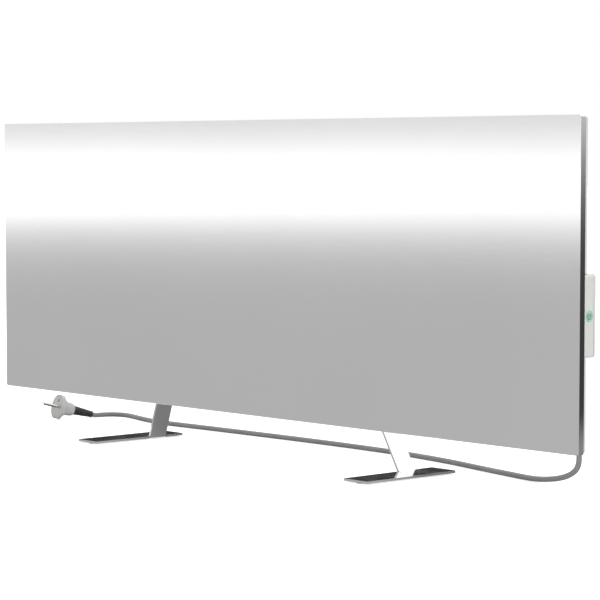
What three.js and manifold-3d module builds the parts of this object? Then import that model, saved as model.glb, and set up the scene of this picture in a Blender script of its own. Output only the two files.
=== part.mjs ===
// Infrared panel heater: a thin radiating tray on two bent sheet feet, with a control box
// at its right edge and a mains lead that lies on the floor behind it.
// Millimetres. X runs along the panel, Y from its front to its back, Z up.
// The origin is on the floor, in the middle of the feet.
import * as THREE from "three";
import { mergeVertices } from "three/addons/utils/BufferGeometryUtils.js";
import Module from "manifold-3d";

const wasm = await Module();
wasm.setup();

// ---------------------------------------------------------------- driving dimensions

const seatGap = 0.2; // between faces that rest on each other
const holeGap = 0.15; // round a screw in its hole
const looseGap = 0.3; // round a piece that is held but not clamped

// Radiating tray: a satin aluminium sheet, folded back on four sides and in again as a lip.
const panelWidth = 1160;
const panelHeight = 400;
const panelBottom = 57;
const panelFrontY = -5;
const traySheet = 1.5;
const trayDepth = 9.5;
const trayFoldRadius = 1.2;
const trayCorner = 3;
const lipWidth = 16;

// Rear cover: a pressed steel tray that sits on the lip.
const coverInset = 2.2;
const coverSheet = 1.2;
const coverDepth = 6.3;
const coverFoldRadius = 2;
const fieldRise = 1.5;
const fieldSlope = 3;
const fieldMargin = 34;
const fieldCorner = 14;
const fieldClearance = 22;
const dimpleMouth = 8;
const dimpleFloor = 5;
const sideScrewRise = 70;

// Heating stack, from the front sheet back.
const stackMargin = 3;
const filmThickness = 0.8;
const foilThickness = 0.3;
const insulationThickness = 8;
const cutoutX = 300;
const cutoutFlangeRadius = 8;
const cutoutBodyRadius = 5.5;
const cutoutFlange = 2;
const cutoutLength = 9;
const cutoutTabLength = 7;
const cutoutTab = 0.8;
const leadRadius = 1.1;
const leadSides = 6;

// Feet: one bent sheet each, a floor plate, an inclined fin and a flange on the cover.
const footSheet = 3;
const footLength = 158;
const footWidth = 44;
const footInnerX = 255;
const footCorner = 2.5;
const footBendRadius = 4.5;
const finWidth = 29;
const finLean = 25;
const finSweep = 6;
const finReliefWidth = 2;
const flangeHeight = 68;
const flangeWidth = 34;
const flangeRise = 8;
const flangeCorner = 6;
const flangeScrewSpacing = 34;
const padRadius = 9;
const padThickness = 1.6;
const padEndMargin = 14;
const backingMargin = 8;
const backingThickness = 3;

// Control box: a moulded base and lid, set into a notch of the rear cover.
const boxWidth = 61.5;
const boxHeight = 99;
const boxBottom = 171;
const boxEdgeInset = 0.5;
const boxWall = 2;
const boxBaseDepth = 16;
const boxLidDepth = 3.3;
const boxCorner = 4;
const lidEdgeRadius = 1.5;
const lidRim = 2;
const lidRimWall = 1.2;
const bossRadius = 3.4;
const bossInset = 7.5;

// Push-button with a lit ring, in the box's end wall.
const buttonZ = 220.5;
const buttonY = 12.7;
const bezelRadius = 6.3;
const bezelThickness = 1.4;
const barrelRadius = 4.6;
const barrelLength = 14;
const ringOuterRadius = 5.7;
const ringInnerRadius = 4.3;
const ringThickness = 0.8;
const buttonRadius = 3.7;
const buttonEdge = 0.4;
const buttonHead = 7;
const buttonStem = 1.8;
const buttonTravel = 2;
const buttonProud = 0.2;
const barrelFloor = 2;
const runningGap = 0.3;
const buttonSides = 20;
const nutFlats = 11.4;
const nutThickness = 2.4;

// Mains lead.
const cordRadius = 3.5;
const cordSides = 8;
const cordSteps = 71;
const cordFromBoxEnd = 19.5;
const glandLength = 28;
const glandTipRadius = 4.1;
const glandRootRadius = 5.4;
const glandNeckRadius = 4.2;
const glandFlange = 2;
const glandFlangeRadius = 5.2;
const glandRibs = 4;
const ribDepth = 1;
const tailLength = 14;
const clampHeight = 8;
const clampDepth = 4.4;
const clampEnd = 1.8;
const clampRise = 0.6; // of the bar above the middle of the cord
const clampSpacing = 19;
const terminalWidth = 14;
const terminalPitch = 10;
const terminalPoles = 3;
const terminalDepth = 10;
const terminalScrewRadius = 1.6;
const coreRadius = 1;
const coreLift = 3; // between the bends of one core and the next

// Plug, measured along its own axis from the end of the cord.
const bootTipRadius = 5;
const bootRootRadius = 7.2;
const bootLength = 34;
const bootRibs = 4;
const bootSeatRadius = 5.8;
const bootSeatDepth = 5;
const plugShoulderRadius = 8.8;
const plugGripRadius = 10.6;
const plugRimRadius = 19.5;
const plugRimThickness = 7;
const plugLength = 62;
const plugPinRadius = 2.4;
const plugPinLength = 19;
const plugPinSpacing = 19;
const plugPinSeat = 6;
const plugSocketRadius = 2.6;
const plugSocketDepth = 9;
const plugGrooveWidth = 11;
const plugGrooveDepth = 2.6;
const clipSheet = 0.8;
const plugHeading = new THREE.Vector3(-0.19, -0.98, 0);

// Screws.
const coverScrewRadius = 1.45;
const coverScrewHead = 3.2;
const footScrewRadius = 2.5;
const footScrewHead = 4.8;
const boxScrewRadius = 1.4;
const boxScrewHead = 2.7;
const headHeightShare = 0.62; // of the head's radius

// ---------------------------------------------------------------- places worked out

const trayBackY = panelFrontY + trayDepth;
const panelMidZ = panelBottom + panelHeight / 2;
const coverFrontY = trayBackY + seatGap;
const coverBackY = coverFrontY + coverDepth;
const coverInnerY = coverBackY - coverSheet;
const coverWidth = panelWidth - 2 * coverInset;
const coverHeight = panelHeight - 2 * coverInset;
const openingWidth = panelWidth - 2 * (traySheet + lipWidth);
const openingHeight = panelHeight - 2 * (traySheet + lipWidth);
const stackWidth = openingWidth - 2 * stackMargin;
const stackHeight = openingHeight - 2 * stackMargin;
const filmFrontY = panelFrontY + traySheet + seatGap;
const foilFrontY = filmFrontY + filmThickness + seatGap;
const insulationFrontY = foilFrontY + foilThickness + seatGap;
const insulationBackY = insulationFrontY + insulationThickness;
const leadY = (insulationBackY + coverInnerY) / 2;

const seatInset = coverInset + coverSheet + dimpleMouth + looseGap;
const seatX = panelWidth / 2 - seatInset;
const seatZ = panelHeight / 2 - seatInset;
const screwSeats = [-1, -1 / 3, 1 / 3, 1]
  .flatMap((share) => [[share * seatX, -seatZ], [share * seatX, seatZ]])
  .concat([[-seatX, sideScrewRise], [seatX, sideScrewRise]])
  .map(([x, rise]) => [x, panelMidZ + rise]);

const plateBottomZ = padThickness + seatGap;
const plateMidZ = plateBottomZ + footSheet / 2;
const footMidX = footInnerX + footWidth / 2;
const finTopX = footInnerX - finLean;
const flangeFrontY = coverBackY + seatGap;
const flangeBackY = flangeFrontY + footSheet;
const flangeBottomZ = panelBottom + flangeRise;
const flangeTopZ = flangeBottomZ + flangeHeight;
const flangeMidX = finTopX + flangeWidth / 2 + footBendRadius;
const flangeScrewZ = [-1, 1].map(
  (side) => (flangeBottomZ + flangeTopZ) / 2 + (side * flangeScrewSpacing) / 2,
);

const boxRightX = panelWidth / 2 - boxEdgeInset;
const boxLeftX = boxRightX - boxWidth;
const boxMidX = (boxLeftX + boxRightX) / 2;
const boxMidZ = boxBottom + boxHeight / 2;
const boxTop = boxBottom + boxHeight;
const boxFrontY = trayBackY + seatGap;
const boxFloorY = boxFrontY + boxWall;
const boxJointY = boxFrontY + boxBaseDepth;
const lidFrontY = boxJointY + seatGap;
const lidBackY = lidFrontY + boxLidDepth;
const lidInnerY = lidBackY - boxWall;
const bosses = [
  [boxLeftX + bossInset, boxTop - bossInset],
  [boxLeftX + bossInset, boxBottom + bossInset],
];

const bezelFaceX = boxRightX + 0.1;
const bezelBackX = bezelFaceX - bezelThickness;
const buttonFaceX = bezelFaceX + buttonProud;
const buttonBackX = buttonFaceX - buttonHead;
const endWallInnerX = bezelBackX - seatGap - boxWall;

const cordX = boxRightX - cordFromBoxEnd;
const cordY = coverBackY + looseGap + glandRootRadius;
const glandTopZ = boxBottom + boxWall + seatGap + glandFlange;
const glandTipZ = boxBottom - glandLength;
const tailBottomZ = glandTopZ + seatGap;
const tailTopZ = tailBottomZ + tailLength;
const clampMidZ = tailBottomZ + tailLength / 2;
const terminalX = boxLeftX + boxWall + bossInset;
const terminalMidZ = boxMidZ - terminalPitch;
const poleZ = Array.from(
  { length: terminalPoles },
  (_, i) => terminalMidZ + (i - (terminalPoles - 1) / 2) * terminalPitch,
);

// ---------------------------------------------------------------- solids and shapes

// A closed geometry as a solid for joining and cutting.
function solid(geometry) {
  const bare = geometry.index ? geometry.toNonIndexed() : geometry.clone();
  bare.deleteAttribute("normal");
  bare.deleteAttribute("uv");
  const merged = mergeVertices(bare, 1e-4);
  return new wasm.Manifold(
    new wasm.Mesh({
      numProp: 3,
      vertProperties: merged.attributes.position.array,
      triVerts: new Uint32Array(merged.index.array),
    }),
  );
}

// A solid back as a geometry with flat faces.
function geometryOf(body) {
  const mesh = body.getMesh();
  const points = new Float32Array(mesh.triVerts.length * 3);
  mesh.triVerts.forEach((vertex, i) => {
    for (let axis = 0; axis < 3; axis += 1) {
      points[3 * i + axis] = mesh.vertProperties[vertex * mesh.numProp + axis];
    }
  });
  const geometry = new THREE.BufferGeometry();
  geometry.setAttribute("position", new THREE.BufferAttribute(points, 3));
  geometry.computeVertexNormals();
  return geometry;
}

const join = (...geometries) => geometries.map(solid).reduce((all, next) => all.add(next));
const cut = (base, geometries) => geometries.reduce((left, tool) => left.subtract(solid(tool)), base);

function roundedRectangle(width, height, radius, x = 0, y = 0) {
  const right = x + width / 2 - radius;
  const top = y + height / 2 - radius;
  const left = x - width / 2 + radius;
  const bottom = y - height / 2 + radius;
  const quarter = Math.PI / 2;
  const shape = new THREE.Shape();
  shape.absarc(right, bottom, radius, -quarter, 0);
  shape.absarc(right, top, radius, 0, quarter);
  shape.absarc(left, top, radius, quarter, 2 * quarter);
  shape.absarc(left, bottom, radius, 2 * quarter, 3 * quarter);
  shape.closePath();
  return shape;
}

function outline(points) {
  return new THREE.Shape(points.map(([x, y]) => new THREE.Vector2(x, y)));
}

// Edge settings of an extrusion whose rounded rims stay inside its outline and length.
function rims(length, radius, segments) {
  return {
    depth: length - 2 * radius,
    bevelEnabled: radius > 0,
    bevelThickness: radius,
    bevelSize: radius,
    bevelOffset: -radius,
    bevelSegments: segments,
    curveSegments: 3,
  };
}

// Extrudes a shape drawn in X and Z from frontY to backY.
function across(shape, frontY, backY, rimRadius = 0, rimSegments = 2) {
  return new THREE.ExtrudeGeometry(shape, rims(backY - frontY, rimRadius, rimSegments))
    .rotateX(Math.PI / 2)
    .translate(0, backY - rimRadius, 0);
}

// Extrudes a shape drawn in X and Y from bottomZ to topZ.
function upward(shape, bottomZ, topZ, rimRadius = 0, rimSegments = 2) {
  return new THREE.ExtrudeGeometry(shape, rims(topZ - bottomZ, rimRadius, rimSegments)).translate(
    0,
    0,
    bottomZ + rimRadius,
  );
}

// Extrudes a shape drawn in Y and Z from leftX to rightX.
function sideways(shape, leftX, rightX) {
  return new THREE.ExtrudeGeometry(shape, rims(rightX - leftX, 0, 0))
    .rotateX(Math.PI / 2)
    .rotateZ(Math.PI / 2)
    .translate(leftX, 0, 0);
}

function block(x, y, z, width, depth, height) {
  return new THREE.BoxGeometry(width, depth, height).translate(x, y, z);
}

// Revolves [radius, distance] pairs, listed away from the start of the axis.
function turned(profile, segments) {
  return new THREE.LatheGeometry(
    profile.map(([radius, along]) => new THREE.Vector2(radius, along)),
    segments,
  );
}

const alongY = (geometry, x, y, z) => geometry.translate(x, y, z);
const alongZ = (geometry, x, y, z) => geometry.rotateX(Math.PI / 2).translate(x, y, z);
const alongX = (geometry, x, y, z) => geometry.rotateZ(-Math.PI / 2).translate(x, y, z);
const onButtonAxis = (geometry, x) => alongX(geometry, x, buttonY, buttonZ);

function rod(radius, length, segments = 12) {
  return turned([[0, 0], [radius, 0], [radius, length], [0, length]], segments);
}

// A round wire or cord through the points.
function tube(points, radius, sides, steps) {
  const section = new THREE.Shape();
  for (let side = 0; side < sides; side += 1) {
    const turn = (side / sides) * 2 * Math.PI;
    const [x, y] = [radius * Math.cos(turn), radius * Math.sin(turn)];
    if (side === 0) section.moveTo(x, y);
    else section.lineTo(x, y);
  }
  const path = new THREE.CatmullRomCurve3(points.map((p) => new THREE.Vector3(...p)));
  return new THREE.ExtrudeGeometry(section, { steps, extrudePath: path, bevelEnabled: false });
}

// The outline of a sheet bent along a line of points, with one mid-sheet radius at each bend.
function bentStrip(points, thickness, radius) {
  const line = points.map(([x, y]) => new THREE.Vector2(x, y));
  const stations = [];
  const addStation = (point, direction) =>
    stations.push([point, new THREE.Vector2(-direction.y, direction.x)]);
  line.forEach((point, i) => {
    const before = i > 0 ? point.clone().sub(line[i - 1]).normalize() : null;
    const after = i < line.length - 1 ? line[i + 1].clone().sub(point).normalize() : null;
    if (!before || !after) {
      addStation(point, before || after);
      return;
    }
    const turn = Math.atan2(before.cross(after), before.dot(after));
    const reach = radius * Math.tan(Math.abs(turn) / 2);
    const start = point.clone().addScaledVector(before, -reach);
    const toCentre = new THREE.Vector2(-before.y, before.x).multiplyScalar(Math.sign(turn));
    const centre = start.clone().addScaledVector(toCentre, radius);
    const bendSteps = 6;
    for (let step = 0; step <= bendSteps; step += 1) {
      const angle = (turn * step) / bendSteps;
      const direction = before.clone().rotateAround(new THREE.Vector2(), angle);
      addStation(start.clone().rotateAround(centre, angle), direction);
    }
  });
  const edge = (side) =>
    stations.map(([point, normal]) => point.clone().addScaledVector(normal, (side * thickness) / 2));
  return new THREE.Shape([...edge(1), ...edge(-1).reverse()]);
}

// ---------------------------------------------------------------- materials

const finish = (color, roughness, metalness) =>
  new THREE.MeshStandardMaterial({ color, roughness, metalness });

const satinAluminium = finish(0xc9cbcc, 0.22, 1);
const whitePowder = finish(0xe9eae8, 0.55, 0);
const polishedSteel = finish(0xd2d4d6, 0.12, 1);
const platedSteel = finish(0xb9bcbe, 0.3, 1);
const greyPlastic = finish(0xd7dad5, 0.5, 0);
const brushedSteel = finish(0xa8b1ae, 0.35, 1);
const greenLens = finish(0x7cc6a4, 0.25, 0);
const darkPlastic = finish(0x3a3c3e, 0.6, 0);
const greyCord = finish(0x8a8a88, 0.6, 0);
const greyPlug = finish(0xb4b6b5, 0.5, 0);
const nickel = finish(0xc8c6bf, 0.2, 1);
const blackRubber = finish(0x2a2a2b, 0.85, 0);
const carbonFilm = finish(0x4a4038, 0.7, 0);
const brightFoil = finish(0xdfe1e3, 0.2, 1);
const mineralBoard = finish(0xcfc6b2, 0.95, 0);
const ceramic = finish(0xe6e0d2, 0.6, 0);
const brownSleeve = finish(0x6b4a33, 0.6, 0);
const blueSleeve = finish(0x3c5f8c, 0.6, 0);
const earthSleeve = finish(0x8fae4a, 0.6, 0);

const heater = new THREE.Group();

function piece(name, shape, material, parent = heater) {
  const geometry = shape.isBufferGeometry ? shape : geometryOf(shape);
  const mesh = new THREE.Mesh(geometry, material);
  mesh.name = name;
  parent.add(mesh);
  return mesh;
}

// ---------------------------------------------------------------- screws

// A pan-head screw with its head's seat at the origin, its shank down -Y.
function panScrew(radius, headRadius, length) {
  const headHeight = headRadius * headHeightShare;
  const profile = [
    [0, -length],
    [radius, -length + radius],
    [radius, 0],
    [headRadius, 0],
    [headRadius * 0.8, headHeight],
    [0, headHeight],
  ];
  return turned(profile, 8);
}

function screw(name, radius, headRadius, length, position, parent) {
  const mesh = piece(name, panScrew(radius, headRadius, length), platedSteel, parent);
  mesh.position.set(...position);
}

// ---------------------------------------------------------------- radiating tray

function frontPanel() {
  const face = roundedRectangle(panelWidth, panelHeight, trayCorner, 0, panelMidZ);
  const pocket = roundedRectangle(
    panelWidth - 2 * traySheet,
    panelHeight - 2 * traySheet,
    trayCorner - traySheet / 2,
    0,
    panelMidZ,
  );
  const opening = roundedRectangle(openingWidth, openingHeight, trayCorner, 0, panelMidZ);
  const holes = screwSeats.map(([x, z]) =>
    alongY(rod(coverScrewRadius + holeGap, 2 * traySheet, 8), x, trayBackY - 1.5 * traySheet, z),
  );
  return cut(solid(across(face, panelFrontY, trayBackY, trayFoldRadius)), [
    across(pocket, panelFrontY + traySheet, trayBackY - traySheet),
    across(opening, trayBackY - 2 * traySheet, trayBackY + traySheet),
    ...holes,
  ]);
}

// ---------------------------------------------------------------- rear cover

// Raised fields of the cover, as [middle X, width], clear of the feet and of the box.
function coverFields() {
  const innerEnd = finTopX - fieldClearance;
  const outerStart = flangeMidX + flangeWidth / 2 + fieldClearance;
  const outerEnd = boxLeftX - fieldClearance;
  const outerWidth = outerEnd - outerStart;
  return [
    [0, 2 * innerEnd],
    [(outerStart + outerEnd) / 2, outerWidth],
    [-(outerStart + outerEnd) / 2, outerWidth],
  ];
}

// One raised field, its sides sloped; shift moves it towards the front for the inner face.
function raisedField([x, width], shift) {
  const height = coverHeight - 2 * fieldMargin;
  const shape = roundedRectangle(width - 2 * shift, height - 2 * shift, fieldCorner, x, panelMidZ);
  const backY = coverBackY + fieldRise - shift;
  return new THREE.ExtrudeGeometry(shape, {
    depth: fieldRise,
    bevelThickness: fieldRise,
    bevelSize: fieldSlope,
    bevelOffset: -fieldSlope,
    bevelSegments: 1,
    curveSegments: 3,
  })
    .rotateX(Math.PI / 2)
    .translate(0, backY - fieldRise, 0);
}

// A conical screw seat pressed in from the back: its outer skin, or the hollow in it.
function dimple(x, z, skin) {
  const seatY = coverFrontY + (skin ? 0 : coverSheet);
  const mouthY = skin ? coverInnerY + coverSheet / 2 : coverBackY + coverSheet;
  const grow = skin ? 0 : -coverSheet;
  const profile = [
    [0, seatY],
    [dimpleFloor + grow, seatY],
    [dimpleMouth + grow, mouthY],
    [0, mouthY],
  ];
  return alongY(turned(profile, 10), x, 0, z);
}

function rearCover() {
  const height = coverHeight;
  const rim = coverFoldRadius;
  const face = roundedRectangle(coverWidth, height, trayCorner, 0, panelMidZ);
  const inside = roundedRectangle(
    coverWidth - 2 * coverSheet,
    height - 2 * coverSheet,
    trayCorner - coverSheet,
    0,
    panelMidZ,
  );
  const fields = coverFields();
  const notchLeft = boxLeftX - looseGap;
  const notchRight = panelWidth / 2 + looseGap;
  const notch = block(
    (notchLeft + notchRight) / 2,
    coverFrontY,
    boxMidZ,
    notchRight - notchLeft,
    4 * coverDepth,
    boxHeight + 2 * looseGap,
  );
  const outer = join(
    across(face, coverFrontY - rim, coverBackY, rim),
    ...fields.map((field) => raisedField(field, 0)),
  );
  const shell = cut(outer, [
    block(0, coverFrontY - rim, panelMidZ, panelWidth, 2 * rim, panelHeight),
    across(inside, coverFrontY - 1, coverInnerY),
    ...fields.map((field) => raisedField(field, coverSheet)),
  ]);
  const seated = screwSeats.reduce((body, [x, z]) => body.add(solid(dimple(x, z, true))), shell);
  const footHoles = [-1, 1].flatMap((side) =>
    flangeScrewZ.map((z) =>
      alongY(
        rod(footScrewRadius + holeGap, 3 * coverSheet),
        side * flangeMidX,
        coverInnerY - coverSheet,
        z,
      ),
    ),
  );
  return cut(seated, [
    notch,
    ...screwSeats.map(([x, z]) => dimple(x, z, false)),
    ...screwSeats.map(([x, z]) =>
      alongY(rod(coverScrewRadius + holeGap, 3 * coverSheet, 8), x, coverFrontY - coverSheet, z),
    ),
    ...footHoles,
  ]);
}

// ---------------------------------------------------------------- heating stack

function stackSheet(frontY, thickness) {
  const sheet = roundedRectangle(stackWidth, stackHeight, trayCorner, 0, panelMidZ);
  return across(sheet, frontY, frontY + thickness);
}

// The board leaves room for the box and goes round the two thermal cut-outs.
function insulationBoard() {
  const boxRoom = boxWidth + 3 * boxWall;
  return cut(solid(stackSheet(insulationFrontY, insulationThickness)), [
    block(
      boxRightX - boxRoom / 2,
      insulationFrontY,
      boxMidZ,
      boxRoom,
      4 * insulationThickness,
      boxHeight + 4 * boxWall,
    ),
    ...[-1, 1].map((side) =>
      alongY(
        rod(cutoutFlangeRadius + 2 * looseGap, 2 * insulationThickness, 14),
        side * cutoutX,
        insulationFrontY - insulationThickness / 2,
        panelMidZ,
      ),
    ),
  ]);
}

// A bimetal cut-out: a flanged cup with a terminal tab on each side.
function thermalCutout() {
  const cup = turned(
    [
      [0, 0],
      [cutoutFlangeRadius, 0],
      [cutoutFlangeRadius, cutoutFlange],
      [cutoutBodyRadius, cutoutFlange],
      [cutoutBodyRadius, cutoutLength],
      [0, cutoutLength],
    ],
    16,
  );
  const tab = block(
    0,
    cutoutLength - cutoutTab / 2,
    0,
    2 * (cutoutBodyRadius + cutoutTabLength),
    cutoutTab,
    5 * cutoutTab,
  );
  return join(cup, tab);
}

function heatingStack() {
  piece("heating_film", stackSheet(filmFrontY, filmThickness), carbonFilm);
  piece("reflector_foil", stackSheet(foilFrontY, foilThickness), brightFoil);
  piece("insulation_board", insulationBoard(), mineralBoard);
  [["thermal_cutout_left", -1], ["thermal_cutout_right", 1]].forEach(([name, side]) => {
    const mesh = piece(name, thermalCutout(), ceramic);
    mesh.position.set(side * cutoutX, insulationFrontY, panelMidZ);
  });
}

// Leads between the terminal block, the cut-outs and the film, in the space under the cover.
function innerLeads() {
  const tabEnd = cutoutBodyRadius + cutoutTabLength + looseGap;
  const blockEnd = terminalX - terminalWidth / 2 - looseGap;
  const [neutralZ, , liveZ] = poleZ;
  const settle = boxLeftX - 40;
  const lowRun = panelBottom + panelHeight / 4;
  const lead = (name, points, material) =>
    piece(name, tube(points, leadRadius, leadSides, 3 * points.length), material);
  lead(
    "lead_live",
    [
      [blockEnd, leadY, liveZ],
      [settle, leadY, liveZ],
      [(settle + cutoutX) / 2, leadY, (liveZ + panelMidZ) / 2],
      [cutoutX + tabEnd + 30, leadY, panelMidZ],
      [cutoutX + tabEnd, leadY, panelMidZ],
    ],
    brownSleeve,
  );
  lead(
    "lead_link",
    [
      [cutoutX - tabEnd, leadY, panelMidZ],
      [0, leadY, panelMidZ],
      [-cutoutX + tabEnd, leadY, panelMidZ],
    ],
    brownSleeve,
  );
  lead(
    "lead_neutral",
    [
      [blockEnd, leadY, neutralZ],
      [settle, leadY, neutralZ],
      [cutoutX, leadY, lowRun],
      [-cutoutX, leadY, lowRun],
      [-cutoutX - 60, leadY, lowRun],
    ],
    blueSleeve,
  );
}

// ---------------------------------------------------------------- feet

// The right foot's sheet: floor plate, fin leaning outwards to it, flange against the cover.
function footSheetBody() {
  const finMidX = footInnerX + footSheet / 2;
  const topMidX = finTopX + footSheet / 2;
  const finFrontY = flangeFrontY;
  const finBackY = finFrontY + finWidth;
  const plate = upward(
    roundedRectangle(footWidth, footLength, footCorner, footMidX, 0),
    plateBottomZ,
    plateBottomZ + footSheet,
  );
  const relief = block(
    footInnerX,
    (finFrontY + finBackY) / 2 + finSweep,
    plateMidZ,
    4 * footBendRadius,
    finWidth + 2 * finReliefWidth,
    4 * footSheet,
  );
  const strip = across(
    bentStrip(
      [
        [footMidX, plateMidZ],
        [finMidX, plateMidZ],
        [topMidX, panelBottom],
        [topMidX, flangeBottomZ + flangeHeight / 2],
      ],
      footSheet,
      footBendRadius,
    ),
    finFrontY - footLength,
    finBackY + footLength,
  );
  // Seen from the side, the fin slants back below the panel.
  const finSide = sideways(
    outline([
      [finFrontY + finSweep, 0],
      [finBackY + finSweep, 0],
      [finBackY, panelBottom],
      [finBackY, flangeTopZ],
      [finFrontY, flangeTopZ],
      [finFrontY, panelBottom],
    ]),
    0,
    footMidX,
  );
  const flange = upward(
    bentStrip(
      [
        [topMidX, finBackY],
        [topMidX, finFrontY + footSheet / 2],
        [finTopX + flangeWidth + footBendRadius, finFrontY + footSheet / 2],
      ],
      footSheet,
      footBendRadius,
    ),
    flangeBottomZ,
    flangeTopZ,
  );
  const flangeFace = roundedRectangle(
    flangeWidth + footBendRadius,
    flangeHeight,
    flangeCorner,
    finTopX + (flangeWidth + footBendRadius) / 2,
    (flangeBottomZ + flangeTopZ) / 2,
  );
  const holes = flangeScrewZ.map((z) =>
    alongY(rod(footScrewRadius + holeGap, 3 * footSheet), flangeMidX, flangeFrontY - footSheet, z),
  );
  const fin = solid(strip).intersect(solid(finSide));
  const bracket = solid(flange).intersect(
    solid(across(flangeFace, finFrontY - footSheet, finBackY + footSheet)),
  );
  return cut(cut(solid(plate), [relief]).add(fin).add(bracket), holes);
}

function backingPlate() {
  const backY = coverInnerY - seatGap;
  const plate = roundedRectangle(
    flangeWidth,
    flangeScrewSpacing + 2 * backingMargin,
    2,
    flangeMidX,
    (flangeBottomZ + flangeTopZ) / 2,
  );
  const holes = flangeScrewZ.map((z) =>
    alongY(
      rod(footScrewRadius + holeGap, 4 * backingThickness),
      flangeMidX,
      backY - 2 * backingThickness,
      z,
    ),
  );
  return cut(solid(across(plate, backY - backingThickness, backY)), holes);
}

// One foot with its pads, screws and backing plate, as the right-hand side; the left is mirrored.
function footSide(side) {
  const group = new THREE.Group();
  group.scale.x = side === "left" ? -1 : 1;
  heater.add(group);
  piece("foot_" + side, footSheetBody(), polishedSteel, group);
  piece("backing_plate_" + side, backingPlate(), platedSteel, group);
  const padY = footLength / 2 - padEndMargin;
  [["front", -padY], ["back", padY]].forEach(([end, y]) => {
    const pad = turned(
      [
        [0, 0],
        [padRadius - 0.6, 0],
        [padRadius, 0.6],
        [padRadius, padThickness],
        [0, padThickness],
      ],
      18,
    );
    piece(`pad_${side}_${end}`, alongZ(pad, footMidX, y, 0), blackRubber, group);
  });
  flangeScrewZ.forEach((z, i) => {
    const length = flangeBackY + seatGap - (coverInnerY - seatGap - backingThickness);
    const place = [flangeMidX, flangeBackY + seatGap, z];
    screw(`foot_screw_${side}_${i + 1}`, footScrewRadius, footScrewHead, length, place, group);
  });
}

// ---------------------------------------------------------------- control box

function boxBase() {
  const face = roundedRectangle(boxWidth, boxHeight, boxCorner, boxMidX, boxMidZ);
  const inside = roundedRectangle(
    boxWidth - 2 * boxWall,
    boxHeight - 2 * boxWall,
    boxCorner - boxWall,
    boxMidX,
    boxMidZ,
  );
  // The end wall is set in round the button, so the wall is doubled behind it.
  const boss = alongX(
    rod(bezelRadius + looseGap + boxWall, boxRightX - endWallInnerX - boxWall / 2, 24),
    endWallInnerX,
    buttonY,
    buttonZ,
  );
  const shell = cut(solid(across(face, boxFrontY, boxJointY)), [
    across(inside, boxFloorY, boxJointY + boxWall),
  ]);
  const room = solid(across(face, boxFrontY, boxJointY));
  const posts = bosses.map(([x, z]) =>
    alongY(rod(bossRadius, boxJointY - boxFloorY - lidRim, 12), x, boxFloorY - boxWall / 2, z),
  );
  const clampPosts = [-1, 1].map((side) =>
    alongY(
      rod(bossRadius, cordY - cordRadius / 2 - boxFloorY, 12),
      cordX + (side * clampSpacing) / 2,
      boxFloorY - boxWall / 2,
      clampMidZ,
    ),
  );
  const filled = [boss, ...posts, ...clampPosts].reduce(
    (body, extra) => body.add(solid(extra).intersect(room)),
    shell,
  );
  const screwHole = (x, z, frontY) =>
    alongY(rod(boxScrewRadius + holeGap, boxBaseDepth, 10), x, frontY, z);
  return cut(filled, [
    alongX(rod(bezelRadius + looseGap, boxWidth, 24), bezelBackX - seatGap, buttonY, buttonZ),
    alongX(rod(barrelRadius + holeGap, boxWidth, 24), endWallInnerX - boxWall, buttonY, buttonZ),
    alongZ(rod(glandNeckRadius + holeGap, 3 * boxWall, 20), cordX, cordY, boxBottom - boxWall),
    block(
      cordX,
      cordY + boxBaseDepth / 2,
      boxBottom,
      2 * (glandNeckRadius + holeGap),
      boxBaseDepth,
      3 * boxWall,
    ),
    ...bosses.map(([x, z]) => screwHole(x, z, boxFloorY)),
    ...[-1, 1].map((side) => screwHole(cordX + (side * clampSpacing) / 2, clampMidZ, boxFloorY)),
    ...[poleZ[0], poleZ[2]].map((z) =>
      alongX(rod(leadRadius + looseGap, 4 * boxWall, 12), boxLeftX - 2 * boxWall, leadY, z),
    ),
  ]);
}

function boxLid() {
  const face = roundedRectangle(boxWidth, boxHeight, boxCorner, boxMidX, boxMidZ);
  const inset = boxWall + looseGap;
  const rimOuter = roundedRectangle(
    boxWidth - 2 * inset,
    boxHeight - 2 * inset,
    boxCorner - boxWall,
    boxMidX,
    boxMidZ,
  );
  const inside = roundedRectangle(
    boxWidth - 2 * (inset + lidRimWall),
    boxHeight - 2 * (inset + lidRimWall),
    boxCorner - boxWall,
    boxMidX,
    boxMidZ,
  );
  const cap = cut(solid(across(face, lidFrontY - lidEdgeRadius, lidBackY, lidEdgeRadius)), [
    block(boxMidX, lidFrontY - lidEdgeRadius, boxMidZ, 2 * boxWidth, 2 * lidEdgeRadius, 2 * boxHeight),
  ]);
  const rimStart = boxJointY - lidRim + seatGap;
  const rim = solid(across(rimOuter, rimStart, lidInnerY));
  const hollow = solid(across(inside, rimStart - 1, lidInnerY));
  const seats = bosses.map(([x, z]) =>
    solid(alongY(rod(bossRadius, lidInnerY + boxWall / 2 - rimStart, 12), x, rimStart, z)),
  );
  const tray = seats.reduce((body, seat) => body.add(seat), cap.add(rim).subtract(hollow));
  const belowLid = block(
    boxMidX,
    lidFrontY - boxBaseDepth / 2,
    boxMidZ,
    boxWidth,
    boxBaseDepth,
    boxHeight,
  );
  const switchRoom = solid(
    alongX(rod(bezelRadius + 3 * boxWall, boxWidth / 3, 24), endWallInnerX - boxWall, buttonY, buttonZ),
  ).intersect(solid(belowLid));
  return cut(tray.subtract(switchRoom), [
    alongZ(
      rod(glandFlangeRadius + looseGap, 3 * boxWall, 20),
      cordX,
      cordY,
      glandTopZ - glandFlange - seatGap,
    ),
    alongZ(rod(glandNeckRadius + holeGap, 3 * boxWall, 20), cordX, cordY, boxBottom - boxWall),
    ...bosses.flatMap(([x, z]) => [
      alongY(rod(boxScrewRadius + holeGap, 4 * boxLidDepth, 10), x, lidFrontY - 2 * boxLidDepth, z),
      alongY(rod(boxScrewHead + looseGap, boxLidDepth, 16), x, lidBackY - boxWall, z),
    ]),
  ]);
}

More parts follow.
